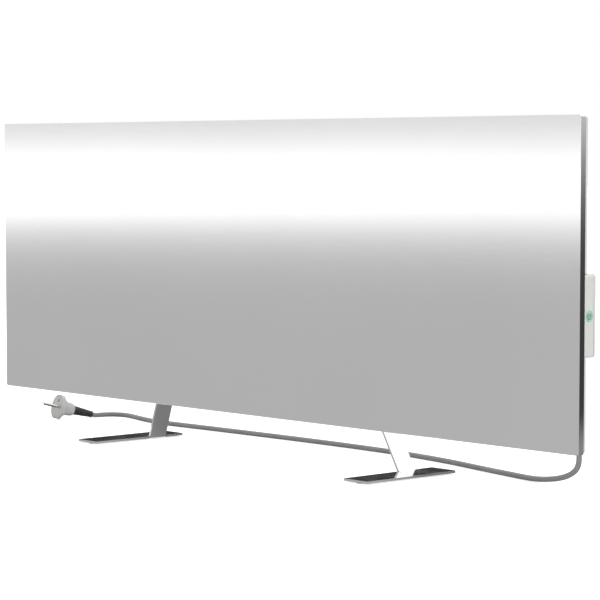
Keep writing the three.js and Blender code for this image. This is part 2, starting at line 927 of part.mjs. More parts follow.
function terminalBlock() {
  const backY = boxFloorY + seatGap;
  const baseDepth = terminalDepth / 2;
  const poleDepth = terminalDepth - baseDepth;
  const base = block(
    terminalX,
    backY + baseDepth / 2,
    terminalMidZ,
    terminalWidth,
    baseDepth,
    terminalPoles * terminalPitch,
  );
  const poles = poleZ.map((z) =>
    block(terminalX, backY + baseDepth, z, terminalWidth * 0.7, 2 * poleDepth, terminalPitch * 0.7),
  );
  const screwWells = poleZ.map((z) =>
    alongY(rod(terminalScrewRadius, terminalDepth, 10), terminalX, backY + baseDepth, z),
  );
  return cut(join(base, ...poles), screwWells);
}

// The sheathed end of the lead in the box, and its three cores to the terminal block.
function leadInBox() {
  const tail = alongZ(rod(cordRadius, tailLength, cordSides), cordX, cordY, tailBottomZ);
  piece("cord_tail", tail, greyCord);
  const blockY = boxFloorY + seatGap + terminalDepth / 4;
  const blockEnd = terminalX + terminalWidth / 2 + looseGap;
  const apart = cordRadius / 2;
  const startZ = tailTopZ + looseGap;
  const cores = [
    ["core_neutral", blueSleeve, -apart, 0],
    ["core_earth", earthSleeve, 0, -apart],
    ["core_live", brownSleeve, apart, apart],
  ];
  cores.forEach(([name, material, asideX, asideY], i) => {
    const [x, y] = [cordX + asideX, cordY + asideY];
    const lift = coreLift * (i + 1);
    const points = [
      [x, y, startZ],
      [x, y, startZ + lift],
      [(cordX + blockEnd) / 2 + lift - coreLift, (y + blockY) / 2, (startZ + poleZ[i]) / 2 + lift],
      [blockEnd + 2 * coreLift, blockY, poleZ[i]],
      [blockEnd, blockY, poleZ[i]],
    ];
    piece(name, tube(points, coreRadius, leadSides, 10), material);
  });
}

function cordClamp() {
  const width = clampSpacing + 2 * bossRadius;
  const frontY = cordY + clampRise;
  const bar = across(
    roundedRectangle(width, clampHeight, 2, cordX, clampMidZ),
    frontY,
    frontY + clampDepth,
  );
  const archHalf = cordRadius + 2;
  const endWidth = width / 2 - archHalf;
  return cut(solid(bar), [
    alongZ(rod(cordRadius + 2 * holeGap, 2 * clampHeight, 14), cordX, cordY, clampMidZ - clampHeight),
    ...[-1, 1].map((side) =>
      block(
        cordX + side * (archHalf + endWidth),
        frontY + clampEnd + clampDepth,
        clampMidZ,
        2 * endWidth,
        2 * clampDepth,
        2 * clampHeight,
      ),
    ),
    ...[-1, 1].map((side) =>
      alongY(
        rod(boxScrewRadius + holeGap, 3 * clampDepth, 10),
        cordX + (side * clampSpacing) / 2,
        frontY - clampDepth,
        clampMidZ,
      ),
    ),
  ]);
}

function controlBox() {
  piece("box_base", boxBase(), greyPlastic);
  piece("box_lid", boxLid(), greyPlastic);
  piece("terminal_block", terminalBlock(), ceramic);
  bosses.forEach(([x, z], i) => {
    const place = [x, lidBackY - boxWall + seatGap, z];
    screw(`lid_screw_${i + 1}`, boxScrewRadius, boxScrewHead, boxBaseDepth / 2, place, heater);
  });
  leadInBox();
  piece("cord_clamp", cordClamp(), darkPlastic);
  [-1, 1].forEach((side, i) => {
    const seatY = cordY + clampRise + clampEnd + seatGap;
    const place = [cordX + (side * clampSpacing) / 2, seatY, clampMidZ];
    screw(`clamp_screw_${i + 1}`, boxScrewRadius, boxScrewHead, 2 * clampDepth, place, heater);
  });
}

// ---------------------------------------------------------------- push-button

// A flat ring about the button's axis, its front face at frontX.
function ringAbout(outerRadius, innerRadius, frontX, thickness) {
  return cut(solid(onButtonAxis(rod(outerRadius, thickness, buttonSides), frontX - thickness)), [
    onButtonAxis(rod(innerRadius, 3 * thickness, buttonSides), frontX - 2 * thickness),
  ]);
}

function switchHousing() {
  const barrelStartX = bezelBackX - barrelLength;
  const lensGap = holeGap / 2;
  const body = join(
    onButtonAxis(rod(bezelRadius, bezelThickness, buttonSides), bezelBackX),
    onButtonAxis(rod(barrelRadius, barrelLength + bezelThickness / 2, buttonSides), barrelStartX),
  );
  const bored = cut(body, [
    onButtonAxis(
      rod(buttonRadius + runningGap, boxWidth, buttonSides),
      buttonBackX - buttonTravel - runningGap,
    ),
    onButtonAxis(rod(buttonStem + runningGap, boxWidth, 16), barrelStartX + barrelFloor),
  ]);
  const lensWell = ringAbout(
    ringOuterRadius + lensGap,
    ringInnerRadius - lensGap,
    bezelFaceX + bezelThickness,
    bezelThickness + ringThickness + lensGap,
  );
  return bored.subtract(lensWell);
}

function buttonCap() {
  const headRoom = bezelBackX - buttonBackX;
  const stemLength = barrelLength - headRoom - barrelFloor - buttonTravel - looseGap;
  const cap = turned(
    [
      [0, -stemLength],
      [buttonStem, -stemLength],
      [buttonStem, 0],
      [buttonRadius, 0],
      [buttonRadius, buttonHead - buttonEdge],
      [buttonRadius - buttonEdge, buttonHead],
      [0, buttonHead],
    ],
    buttonSides,
  );
  return onButtonAxis(cap, buttonBackX);
}

// The hexagon nut that holds the switch against the inner side of the end wall.
function switchNut() {
  const corner = nutFlats / 2 / Math.cos(Math.PI / 6);
  const corners = Array.from({ length: 6 }, (_, i) => {
    const turn = (i * Math.PI) / 3;
    return [buttonY + corner * Math.sin(turn), buttonZ + corner * Math.cos(turn)];
  });
  const rightX = endWallInnerX - seatGap;
  return cut(solid(sideways(outline(corners), rightX - nutThickness, rightX)), [
    onButtonAxis(rod(barrelRadius + holeGap, 3 * nutThickness, buttonSides), rightX - 2 * nutThickness),
  ]);
}

function pushButton() {
  const ring = ringAbout(ringOuterRadius, ringInnerRadius, bezelFaceX, ringThickness);
  piece("switch_housing", switchHousing(), platedSteel);
  piece("ring_light", ring, greenLens);
  piece("power_button", buttonCap(), brushedSteel);
  piece("switch_nut", switchNut(), platedSteel);
}

// ---------------------------------------------------------------- mains lead and plug

// Adds the ribs of a rubber boot to a profile; they grow from the cord to the root.
function addRibs(profile, start, end, tipRadius, rootRadius, ribs) {
  const pitch = (end - start) / ribs;
  for (let rib = 0; rib < ribs; rib += 1) {
    const radius = tipRadius + ((rootRadius - tipRadius) * (rib + 0.5)) / ribs;
    const crest = start + rib * pitch;
    profile.push([radius, crest], [radius - ribDepth, crest + 0.1 * pitch]);
    profile.push([radius - ribDepth, crest + 0.45 * pitch], [radius, crest + 0.55 * pitch]);
  }
}

// The gland's ribbed boot narrows towards the cord; its neck and flange hold it in the wall.
function cordGland() {
  const rootZ = boxBottom - seatGap;
  const flangeZ = glandTopZ - glandFlange;
  const shoulder = 2.5;
  const profile = [[0, glandTipZ], [glandTipRadius, glandTipZ]];
  addRibs(
    profile,
    glandTipZ + shoulder,
    rootZ - 1.5 * shoulder,
    glandTipRadius,
    glandRootRadius - ribDepth,
    glandRibs,
  );
  profile.push([glandRootRadius, rootZ - shoulder], [glandRootRadius, rootZ]);
  profile.push([glandNeckRadius, rootZ], [glandNeckRadius, flangeZ]);
  profile.push([glandFlangeRadius, flangeZ], [glandFlangeRadius, glandTopZ], [0, glandTopZ]);
  return alongZ(turned(profile, 12), cordX, cordY, 0);
}

// Where the cord meets the plug's boot, low enough for rim and boot to lie on the floor.
const plugSlope = Math.atan((plugRimRadius - bootTipRadius) / (plugLength - plugRimThickness));
const plugStart = new THREE.Vector3(-543, 130, bootTipRadius * Math.cos(plugSlope) + seatGap);
const plugLevel = plugHeading.clone().normalize();
const plugAxis = plugLevel.clone().multiplyScalar(Math.cos(plugSlope)).setZ(Math.sin(plugSlope));

const cordRestZ = cordRadius + 0.1;

// The cord drops behind the panel, swings back to the floor and runs behind the feet.
const cordRoute = [
  [cordX, cordY, glandTipZ - looseGap],
  [cordX, cordY, glandTipZ - 28],
  [cordX, 17.4, 95],
  [557.2, 21.2, 73],
  [550.5, 29.5, 55],
  [540, 41, 41.5],
  [526, 52.5, 31],
  [509, 63, 23],
  [490, 72.8, 16.6],
  [468, 82, 11.3],
  [445, 90, 7.4],
  [422, 96.8, 4.8],
  [398, 103, 3.8],
  [372, 109, cordRestZ],
  [340, 116, cordRestZ],
  [295, 126, cordRestZ],
  [240, 139, cordRestZ],
  [185, 149, cordRestZ],
  [120, 157, cordRestZ],
  [40, 161, cordRestZ],
  [-40, 161.5, cordRestZ],
  [-120, 160, cordRestZ],
  [-200, 157, cordRestZ],
  [-270, 154, cordRestZ],
  [-330, 151, cordRestZ],
  [-385, 149, cordRestZ],
  [-425, 152.5, cordRestZ],
  [-456, 159, cordRestZ],
  [-481, 166, cordRestZ],
  [-498.5, 170.8, cordRestZ],
  [-511, 172.4, cordRestZ],
  [-523.5, 168.9, cordRestZ],
  [-534, 159.8, cordRestZ],
  plugStart.clone().addScaledVector(plugLevel, -17).setZ(cordRestZ).toArray(),
  plugStart.clone().addScaledVector(plugAxis, -5).toArray(),
  plugStart.toArray(),
];

// The rubber boot of the plug, its root seated in the body.
function plugBoot() {
  const profile = [[0, 0], [bootTipRadius, 0]];
  addRibs(profile, 2, bootLength - 3, bootTipRadius, bootRootRadius, bootRibs);
  profile.push([bootRootRadius, bootLength - 2], [bootRootRadius, bootLength - seatGap]);
  profile.push([bootSeatRadius, bootLength - seatGap]);
  profile.push([bootSeatRadius, bootLength + bootSeatDepth], [0, bootLength + bootSeatDepth]);
  return alongX(turned(profile, 12), 0, 0, 0);
}

// The moulded body: a slim grip that opens into a round rim, with a groove at either side.
function plugBody() {
  const rimStart = plugLength - plugRimThickness;
  const gripEnd = (bootLength + rimStart) / 2;
  const profile = [
    [0, bootLength],
    [plugShoulderRadius, bootLength],
    [plugGripRadius - 0.4, bootLength + 3],
    [plugGripRadius, gripEnd],
    [(plugGripRadius + plugRimRadius) / 2 - 2, rimStart - 4.5],
    [(plugGripRadius + plugRimRadius) / 2 + 1.2, rimStart - 1.8],
    [plugRimRadius - 1.2, rimStart],
    [plugRimRadius, rimStart + 1],
    [plugRimRadius, plugLength - 1],
    [plugRimRadius - 1, plugLength],
    [0, plugLength],
  ];
  const pinHoles = [-1, 1].map((side) =>
    alongX(
      rod(plugPinRadius + holeGap, 2 * plugPinSeat, 14),
      plugLength - plugPinSeat,
      (side * plugPinSpacing) / 2,
      0,
    ),
  );
  const socket = alongX(
    rod(plugSocketRadius, 2 * plugSocketDepth, 14),
    plugLength - plugSocketDepth,
    0,
    plugPinSpacing / 2,
  );
  const bootSeat = alongX(
    rod(bootSeatRadius / Math.cos(Math.PI / 12) + holeGap, 2 * bootSeatDepth + seatGap, 12),
    bootLength - bootSeatDepth,
    0,
    0,
  );
  const grooves = [-1, 1].map((side) =>
    block(
      plugLength,
      0,
      side * plugRimRadius,
      4 * plugRimThickness,
      plugGrooveWidth,
      2 * plugGrooveDepth,
    ),
  );
  return cut(solid(alongX(turned(profile, 24), 0, 0, 0)), [
    bootSeat,
    ...pinHoles,
    socket,
    ...grooves,
  ]);
}

function plug() {
  const group = new THREE.Group();
  const side = new THREE.Vector3(-plugLevel.y, plugLevel.x, 0);
  const up = plugAxis.clone().cross(side);
  group.quaternion.setFromRotationMatrix(new THREE.Matrix4().makeBasis(plugAxis, side, up));
  group.position.copy(plugStart).addScaledVector(plugAxis, looseGap);
  heater.add(group);
  piece("plug_boot", plugBoot(), darkPlastic, group);
  piece("plug_body", plugBody(), greyPlug, group);
  const reach = plugPinSeat + plugPinLength - holeGap;
  const pin = [
    [0, 0],
    [plugPinRadius, 0],
    [plugPinRadius, reach - 1.6],
    [plugPinRadius * 0.8, reach - 0.5],
    [plugPinRadius * 0.45, reach],
    [0, reach],
  ];
  [1, -1].forEach((place, i) => {
    const mesh = piece(`plug_pin_${i + 1}`, turned(pin, 14).rotateZ(-Math.PI / 2), nickel, group);
    mesh.position.set(plugLength - plugPinSeat + holeGap, (place * plugPinSpacing) / 2, 0);
  });
  const clipRise = plugRimRadius - plugGrooveDepth + clipSheet;
  [1, -1].forEach((place, i) => {
    const strip = new THREE.BoxGeometry(plugRimThickness, plugGrooveWidth / 2, clipSheet);
    const mesh = piece(`plug_clip_${i + 1}`, strip, nickel, group);
    mesh.position.set(plugLength - plugRimThickness / 2 - seatGap, 0, place * clipRise);
  });
}

// ---------------------------------------------------------------- the heater

piece("front_panel", frontPanel(), satinAluminium);
piece("rear_cover", rearCover(), whitePowder);
screwSeats.forEach(([x, z], i) => {
  const place = [x, coverFrontY + coverSheet + seatGap, z];
  const length = coverSheet + 2 * traySheet;
  screw(`cover_screw_${i + 1}`, coverScrewRadius, coverScrewHead, length, place, heater);
});
heatingStack();
innerLeads();
footSide("left");
footSide("right");
controlBox();
pushButton();
piece("cord_gland", cordGland(), darkPlastic);
piece("cord", tube(cordRoute, cordRadius, cordSides, cordSteps), greyCord);
plug();

export default heater;
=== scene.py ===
"""Infrared panel heater: the fine shapes and finishes of every piece, on a plain pale stage."""
import math

import bmesh
import bpy
from bpy.props import FloatProperty, FloatVectorProperty, IntProperty, PointerProperty
from mathutils import Matrix, Vector


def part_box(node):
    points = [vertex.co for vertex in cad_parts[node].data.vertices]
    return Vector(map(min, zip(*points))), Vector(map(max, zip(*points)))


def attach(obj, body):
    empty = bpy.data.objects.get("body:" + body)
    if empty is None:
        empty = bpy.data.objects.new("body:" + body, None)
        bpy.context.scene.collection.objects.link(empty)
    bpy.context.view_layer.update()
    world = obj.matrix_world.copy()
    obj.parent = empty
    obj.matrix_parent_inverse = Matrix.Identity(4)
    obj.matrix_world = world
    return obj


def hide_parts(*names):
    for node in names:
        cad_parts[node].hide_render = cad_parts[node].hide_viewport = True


bl_info = {
    "name": "Infrared panel heater",
    "version": (1, 0, 0),
    "blender": (4, 5, 0),
    "location": "View3D > Sidebar > Heater",
    "description": "Dresses the solids of an infrared panel heater with fine shapes and finishes",
    "category": "Object",
}

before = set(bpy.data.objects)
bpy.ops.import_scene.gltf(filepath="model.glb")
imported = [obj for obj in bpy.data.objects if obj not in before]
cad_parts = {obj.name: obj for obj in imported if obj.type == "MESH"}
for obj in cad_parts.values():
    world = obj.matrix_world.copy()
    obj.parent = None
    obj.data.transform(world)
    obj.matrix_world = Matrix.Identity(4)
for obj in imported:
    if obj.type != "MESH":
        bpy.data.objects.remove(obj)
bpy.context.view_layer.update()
MM = 0.001

HEATER = "heater"
BUTTON = "button"
COVER_SCREWS = [f"cover_screw_{i}" for i in range(1, 11)]
LID_SCREWS = ["lid_screw_1", "lid_screw_2"]
FOOT_SCREWS = [f"foot_screw_{side}_{i}" for side in ("left", "right") for i in (1, 2)]
X_AXIS, Y_AXIS, Z_AXIS = Vector((1, 0, 0)), Vector((0, 1, 0)), Vector((0, 0, 1))

# The plug, in millimetres from its boot's tip to its face.
BOOT_TIP, BOOT_ROOT, BOOT_LENGTH, BOOT_RIBS = 5.0, 7.2, 34.0, 7
SHOULDER_RADIUS, GRIP_RADIUS = 8.8, 10.6
RIM_RADIUS, RIM_THICKNESS, PLUG_LENGTH = 19.5, 7.0, 62.0
PIN_RADIUS, PIN_LENGTH, PIN_SPACING, PIN_SEAT = 2.4, 19.0, 19.0, 6.0
SOCKET_RADIUS, SOCKET_DEPTH = 2.6, 9.0
GROOVE_DEPTH, GROOVE_WIDTH = 2.6, 11.0
FACE_RECESS = 0.9

# Where the plug lies, in metres: it rests on its rim and on the tip of its boot.
PLUG_START = Vector((-0.543, 0.130, 0.005033))
PLUG_HEADING = Vector((-0.19, -0.98, 0.0)).normalized()
PLUG_SLOPE = math.atan((RIM_RADIUS - BOOT_TIP) / (PLUG_LENGTH - RIM_THICKNESS))
PLUG_AXIS = PLUG_HEADING * math.cos(PLUG_SLOPE) + Z_AXIS * math.sin(PLUG_SLOPE)
PLUG_RUN_IN = PLUG_START - PLUG_HEADING * 0.017

# The mains lead's route, from the gland down behind the panel and along the floor, in metres.
CORD_REST = 0.0036
CORD_GAP = 0.3 * MM
CORD_ROUTE = [
    (0.560, 0.0167, 0.1427),
    (0.560, 0.0167, 0.1150),
    (0.560, 0.0174, 0.0950),
    (0.5572, 0.0212, 0.0730),
    (0.5505, 0.0295, 0.0550),
    (0.540, 0.0410, 0.0415),
    (0.526, 0.0525, 0.0310),
    (0.509, 0.0630, 0.0230),
    (0.490, 0.0728, 0.0166),
    (0.468, 0.0820, 0.0113),
    (0.445, 0.0900, 0.0074),
    (0.422, 0.0968, 0.0048),
    (0.398, 0.1030, 0.0038),
    (0.372, 0.1090, CORD_REST),
    (0.340, 0.1160, CORD_REST),
    (0.295, 0.1260, CORD_REST),
    (0.240, 0.1390, CORD_REST),
    (0.185, 0.1490, CORD_REST),
    (0.120, 0.1570, CORD_REST),
    (0.040, 0.1610, CORD_REST),
    (-0.040, 0.1615, CORD_REST),
    (-0.120, 0.1600, CORD_REST),
    (-0.200, 0.1570, CORD_REST),
    (-0.270, 0.1540, CORD_REST),
    (-0.330, 0.1510, CORD_REST),
    (-0.385, 0.1490, CORD_REST),
    (-0.425, 0.1525, CORD_REST),
    (-0.456, 0.1590, CORD_REST),
    (-0.481, 0.1660, CORD_REST),
    (-0.4985, 0.1699, CORD_REST),
    (-0.511, 0.1711, CORD_REST),
    (-0.523, 0.1679, CORD_REST),
    (-0.534, 0.1598, CORD_REST),
    (PLUG_RUN_IN.x, PLUG_RUN_IN.y, CORD_REST),
    tuple(PLUG_START - PLUG_AXIS * 0.005),
    tuple(PLUG_START),
]


# ------------------------------------------------------------------ sizes and colours

def length(name, description, default):
    """A size, in metres."""
    return FloatProperty(
        name=name, description=description, default=default, min=0.0, unit="LENGTH", precision=5
    )


def colour(name, description, default):
    """A plain colour."""
    return FloatVectorProperty(
        name=name, description=description, default=default, size=3, min=0.0, max=1.0, subtype="COLOR"
    )


def share(name, description, default):
    """A part of a whole, from 0 to 1."""
    return FloatProperty(
        name=name, description=description, default=default, min=0.0, max=1.0, subtype="FACTOR"
    )


class HeaterPanelSettings(bpy.types.PropertyGroup):
    """The radiating tray and the rear cover."""

    tray_colour: colour("Tray", "Colour of the satin aluminium sheet", (0.955, 0.96, 0.955))
    tray_roughness: share("Tray roughness", "How satin the radiating face is", 0.09)
    sheet: length("Sheet", "Thickness of the tray's sheet", 1.5 * MM)
    fold_radius: length("Fold radius", "Outer radius of the tray's folds", 0.8 * MM)
    corner: length("Corner", "Radius of the face's four corners", 3 * MM)
    lip: length("Lip", "Width of the lip folded in behind", 16 * MM)
    cover_colour: colour("Cover", "Powder coat of the rear cover", (0.80, 0.81, 0.80))
    cover_sheet: length("Cover sheet", "Thickness of the cover's sheet", 1.2 * MM)
    press_radius: length("Press radius", "Radius of the cover's folded edge", 2 * MM)


class HeaterFeetSettings(bpy.types.PropertyGroup):
    """The two bent sheet feet."""

    steel_colour: colour("Steel", "Colour of the polished sheet", (0.86, 0.87, 0.88))
    steel_roughness: share("Steel roughness", "How bright the sheet is polished", 0.09)
    edge_radius: length("Edge radius", "Radius of the sheet's dressed edges", 0.5 * MM)


class HeaterBoxSettings(bpy.types.PropertyGroup):
    """The control box and its lit push-button."""

    plastic_colour: colour("Plastic", "Colour of the moulded box", (0.735, 0.755, 0.72))
    cap_colour: colour("Button cap", "Colour of the brushed metal cap", (0.80, 0.80, 0.81))
    ring_colour: colour("Ring", "Colour of the lit ring", (0.17, 0.62, 0.41))
    ring_glow: FloatProperty(
        name="Ring glow", description="Strength of the ring's own light", default=0.6, min=0.0
    )
    corner: length("Corner", "Radius of the box's long corners", 4 * MM)
    edge: length("Edge", "Radius of the moulded edges", 1.2 * MM)
    wall: length("Wall", "Thickness of the moulded wall", 2 * MM)


class HeaterLeadSettings(bpy.types.PropertyGroup):
    """The mains lead, its gland and its plug."""

    diameter: length("Diameter", "Outer diameter of the lead", 7 * MM)
    sheath_colour: colour("Sheath", "Colour of the lead's sheath", (0.29, 0.29, 0.285))
    # Near black: the rubber's own dark tone, and on the plug's boot also painted shade where the grip lies
    # in shade; the gland shares it.
    rubber_and_painted_shade_colour: colour("Rubber", "Colour of the plug's boot and the gland", (0.045, 0.045, 0.048))
    plug_colour: colour("Plug", "Colour of the moulded plug", (0.60, 0.61, 0.60))
    nickel_colour: colour("Nickel", "Colour of the pins and clips", (0.70, 0.68, 0.63))
    curve_steps: IntProperty(
        name="Steps", description="Steps of the lead between two points", default=8, min=4, max=24
    )


class HeaterStageSettings(bpy.types.PropertyGroup):
    """The floor, the light and the camera."""

    floor_radius: length("Floor radius", "Radius of the round floor", 30.0)
    near_floor: share("Near floor", "Tone of the floor that metal shows, near and in front", 0.45)
    back_floor: share("Back floor", "Tone of the floor that metal shows, behind", 0.04)
    key_power: FloatProperty(
        name="Key lamp", description="Power of the soft lamp in front", default=46.0, min=0.0, unit="POWER"
    )
    rim_power: FloatProperty(
        name="Rim lamp", description="Power of the soft lamp behind", default=27.6, min=0.0, unit="POWER"
    )
    fill: share("Fill", "Strength of the even light from all round", 0.74)


# ------------------------------------------------------------------ meshes

def finish_piece(name, bm, material, nodes, body=HEATER, sharp=35.0, sheet=0.0):
    """Makes a bmesh an object that rides on a body and stands for its CAD nodes."""
    mesh = bpy.data.meshes.new(name)
    bm.to_mesh(mesh)
    bm.free()
    mesh.shade_smooth()
    mesh.set_sharp_from_angle(angle=math.radians(sharp))
    mesh.materials.append(material)
    piece = bpy.data.objects.new(name, mesh)
    bpy.context.collection.objects.link(piece)
    if sheet:
        wall = piece.modifiers.new("sheet", "SOLIDIFY")
        wall.thickness = sheet
        wall.offset = -1.0
        wall.use_even_offset = True
    flats = piece.modifiers.new("flats", "WEIGHTED_NORMAL")
    flats.keep_sharp = True
    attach(piece, body)
    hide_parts(*nodes)
    return piece


def bevel(bm, geom, offset, segments, affect="EDGES"):
    """Rounds edges or corners."""
    bmesh.ops.bevel(
        bm,
        geom=geom,
        offset=offset,
        segments=segments,
        profile=0.5,
        affect=affect,
        material=-1,
        clamp_overlap=True,
    )


def solid_box(node):
    """A solid's low corner, high corner and middle."""
    low, high = (Vector(corner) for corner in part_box(node))
    return low, high, (low + high) / 2


def edges_along(bm, axis, where=lambda middle: True):
    """Edges that run along an axis and whose middle passes a test."""
    found = []
    for edge in bm.edges:
        first, second = (v.co for v in edge.verts)
        if abs((second - first).normalized().dot(axis)) > 0.999 and where((first + second) / 2):
            found.append(edge)
    return found


def box_mesh(low, high):
    """A cuboid between two corners."""
    bm = bmesh.new()
    bmesh.ops.create_cube(bm, size=1.0)
    bmesh.ops.scale(bm, vec=high - low, verts=bm.verts)
    bmesh.ops.translate(bm, vec=(low + high) / 2, verts=bm.verts)
    return bm


def turned(profile, steps, axis, place=(0, 0, 0)):
    """A body spun from [radius, distance] pairs, in millimetres, along an axis from a place."""
    bm = bmesh.new()
    verts = [bm.verts.new((radius * MM, 0.0, along * MM)) for radius, along in profile]
    edges = [bm.edges.new(pair) for pair in zip(verts, verts[1:])]
    bmesh.ops.spin(
        bm,
        geom=verts + edges,
        cent=(0, 0, 0),
        axis=(0, 0, 1),
        dvec=(0, 0, 0),
        angle=math.tau,
        steps=steps,
        use_merge=True,
    )
    bmesh.ops.remove_doubles(bm, verts=bm.verts, dist=1e-6)
    bmesh.ops.recalc_face_normals(bm, faces=bm.faces)
    turn = Z_AXIS.rotation_difference(axis).to_matrix()
    bmesh.ops.rotate(bm, cent=(0, 0, 0), matrix=turn, verts=bm.verts)
    bmesh.ops.translate(bm, vec=Vector(place), verts=bm.verts)
    return bm


def standing(bm, verts, centre):
    """Turns a flat shape drawn in X and Y upright, to X and Z, about a centre."""
    bmesh.ops.rotate(bm, cent=(0, 0, 0), matrix=Matrix.Rotation(math.pi / 2, 3, "X"), verts=verts)
    bmesh.ops.translate(bm, vec=centre, verts=verts)


def rounded_ring(bm, width, height, radius, centre, segments=6):
    """The edges of an upright rounded rectangle about a centre."""
    before = set(bm.faces)
    verts = bmesh.ops.create_grid(bm, x_segments=1, y_segments=1, size=0.5)["verts"]
    bmesh.ops.scale(bm, vec=(width, height, 1.0), verts=verts)
    standing(bm, verts, centre)
    bevel(bm, verts, radius, segments, affect="VERTICES")
    face = next(f for f in bm.faces if f not in before)
    edges = list(face.edges)
    bmesh.ops.delete(bm, geom=[face], context="FACES_ONLY")
    return edges


def round_ring(bm, radius, centre, segments=32):
    """The edges of an upright circle about a centre."""
    verts = bmesh.ops.create_circle(bm, segments=segments, radius=radius)["verts"]
    standing(bm, verts, centre)
    return list({edge for vert in verts for edge in vert.link_edges})


def skin(bm, rings):
    """Joins each ring of edges to the next with a band of faces."""
    for first, second in zip(rings, rings[1:]):
        bmesh.ops.bridge_loops(bm, edges=first + second)


def closed_by(bm, ring):
    """Fills a ring of edges with one face."""
    bmesh.ops.contextual_create(bm, geom=ring)


def arc(centre, radius, start, end, steps):
    """Points on an arc, as [across, along] pairs; angles in degrees."""
    angles = [math.radians(start + (end - start) * i / steps) for i in range(steps + 1)]
    return [(centre[0] + radius * math.cos(a), centre[1] + radius * math.sin(a)) for a in angles]


def cut_away(bm, low, high, normal=None):
    """Cuts the faces along a box's sides and takes out those inside it, or only those that face
    along a normal."""
    low, high = Vector(low), Vector(high)
    for axis, direction in enumerate((X_AXIS, Y_AXIS, Z_AXIS)):
        for limit in (low[axis], high[axis]):
            bmesh.ops.bisect_plane(
                bm,
                geom=list(bm.verts) + list(bm.edges) + list(bm.faces),
                plane_co=direction * limit,
                plane_no=direction,
                dist=1e-6,
            )
    inside = []
    for face in bm.faces:
        middle = face.calc_center_median()
        if all(low[i] < middle[i] < high[i] for i in range(3)):
            if normal is None or face.normal.dot(normal) > 0.9:
                inside.append(face)
    bmesh.ops.delete(bm, geom=inside, context="FACES")


def cell_face(bm, centre, normal, half):
    """Cuts a square cell out of the flat face round a point, and returns its face."""
    across = [a for a in (X_AXIS, Y_AXIS, Z_AXIS) if abs(a.dot(normal)) < 0.5]
    for direction in across:
        for side in (-1, 1):
            near = [
                f
                for f in bm.faces
                if f.normal.dot(normal) > 0.99 and abs((f.verts[0].co - centre).dot(normal)) < 1e-5
            ]
            parts = {e for f in near for e in f.edges} | {v for f in near for v in f.verts}
            bmesh.ops.bisect_plane(
                bm,
                geom=near + list(parts),
                plane_co=centre + direction * side * half,
                plane_no=direction,
                dist=1e-6,
            )
    return min(
        (f for f in bm.faces if f.normal.dot(normal) > 0.99),
        key=lambda f: (f.calc_center_median() - centre).length,
    )


def press_round(bm, face, centre, normal, rings, cuts=6):
    """Turns a square face's middle into rings of [radius, depth]; the last one keeps its face.

    The square is first drawn in most of the way to the first ring, which leaves it a flat margin.
    """
    half = face.calc_perimeter() / 8
    bmesh.ops.inset_individual(bm, faces=[face], thickness=(half - rings[0][0]) * 0.8)
    bmesh.ops.subdivide_edges(bm, edges=list(face.edges), cuts=cuts - 1, use_grid_fill=False)
    for index, (radius, depth) in enumerate(rings):
        if index:
            bmesh.ops.inset_individual(bm, faces=[face], thickness=1e-6)
        for vert in face.verts:
            reach = vert.co - centre
            reach -= normal * reach.dot(normal)
            vert.co = centre + reach.normalized() * radius - normal * depth
    return face


def refined_copy(node, radius, angle=40.0, segments=2):
    """A merged copy of a CAD node's mesh with its sharp edges rounded."""
    bm = bmesh.new()
    bm.from_mesh(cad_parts[node].data)
    bmesh.ops.remove_doubles(bm, verts=bm.verts, dist=1e-6)
    bmesh.ops.dissolve_limit(
        bm, angle_limit=math.radians(0.6), verts=bm.verts, edges=bm.edges, use_dissolve_boundaries=False
    )
    limit = math.radians(angle)
    sharp = [e for e in bm.edges if e.is_manifold and e.calc_face_angle(0.0) > limit]
    bevel(bm, sharp, radius, segments)
    return bm


# ------------------------------------------------------------------ materials

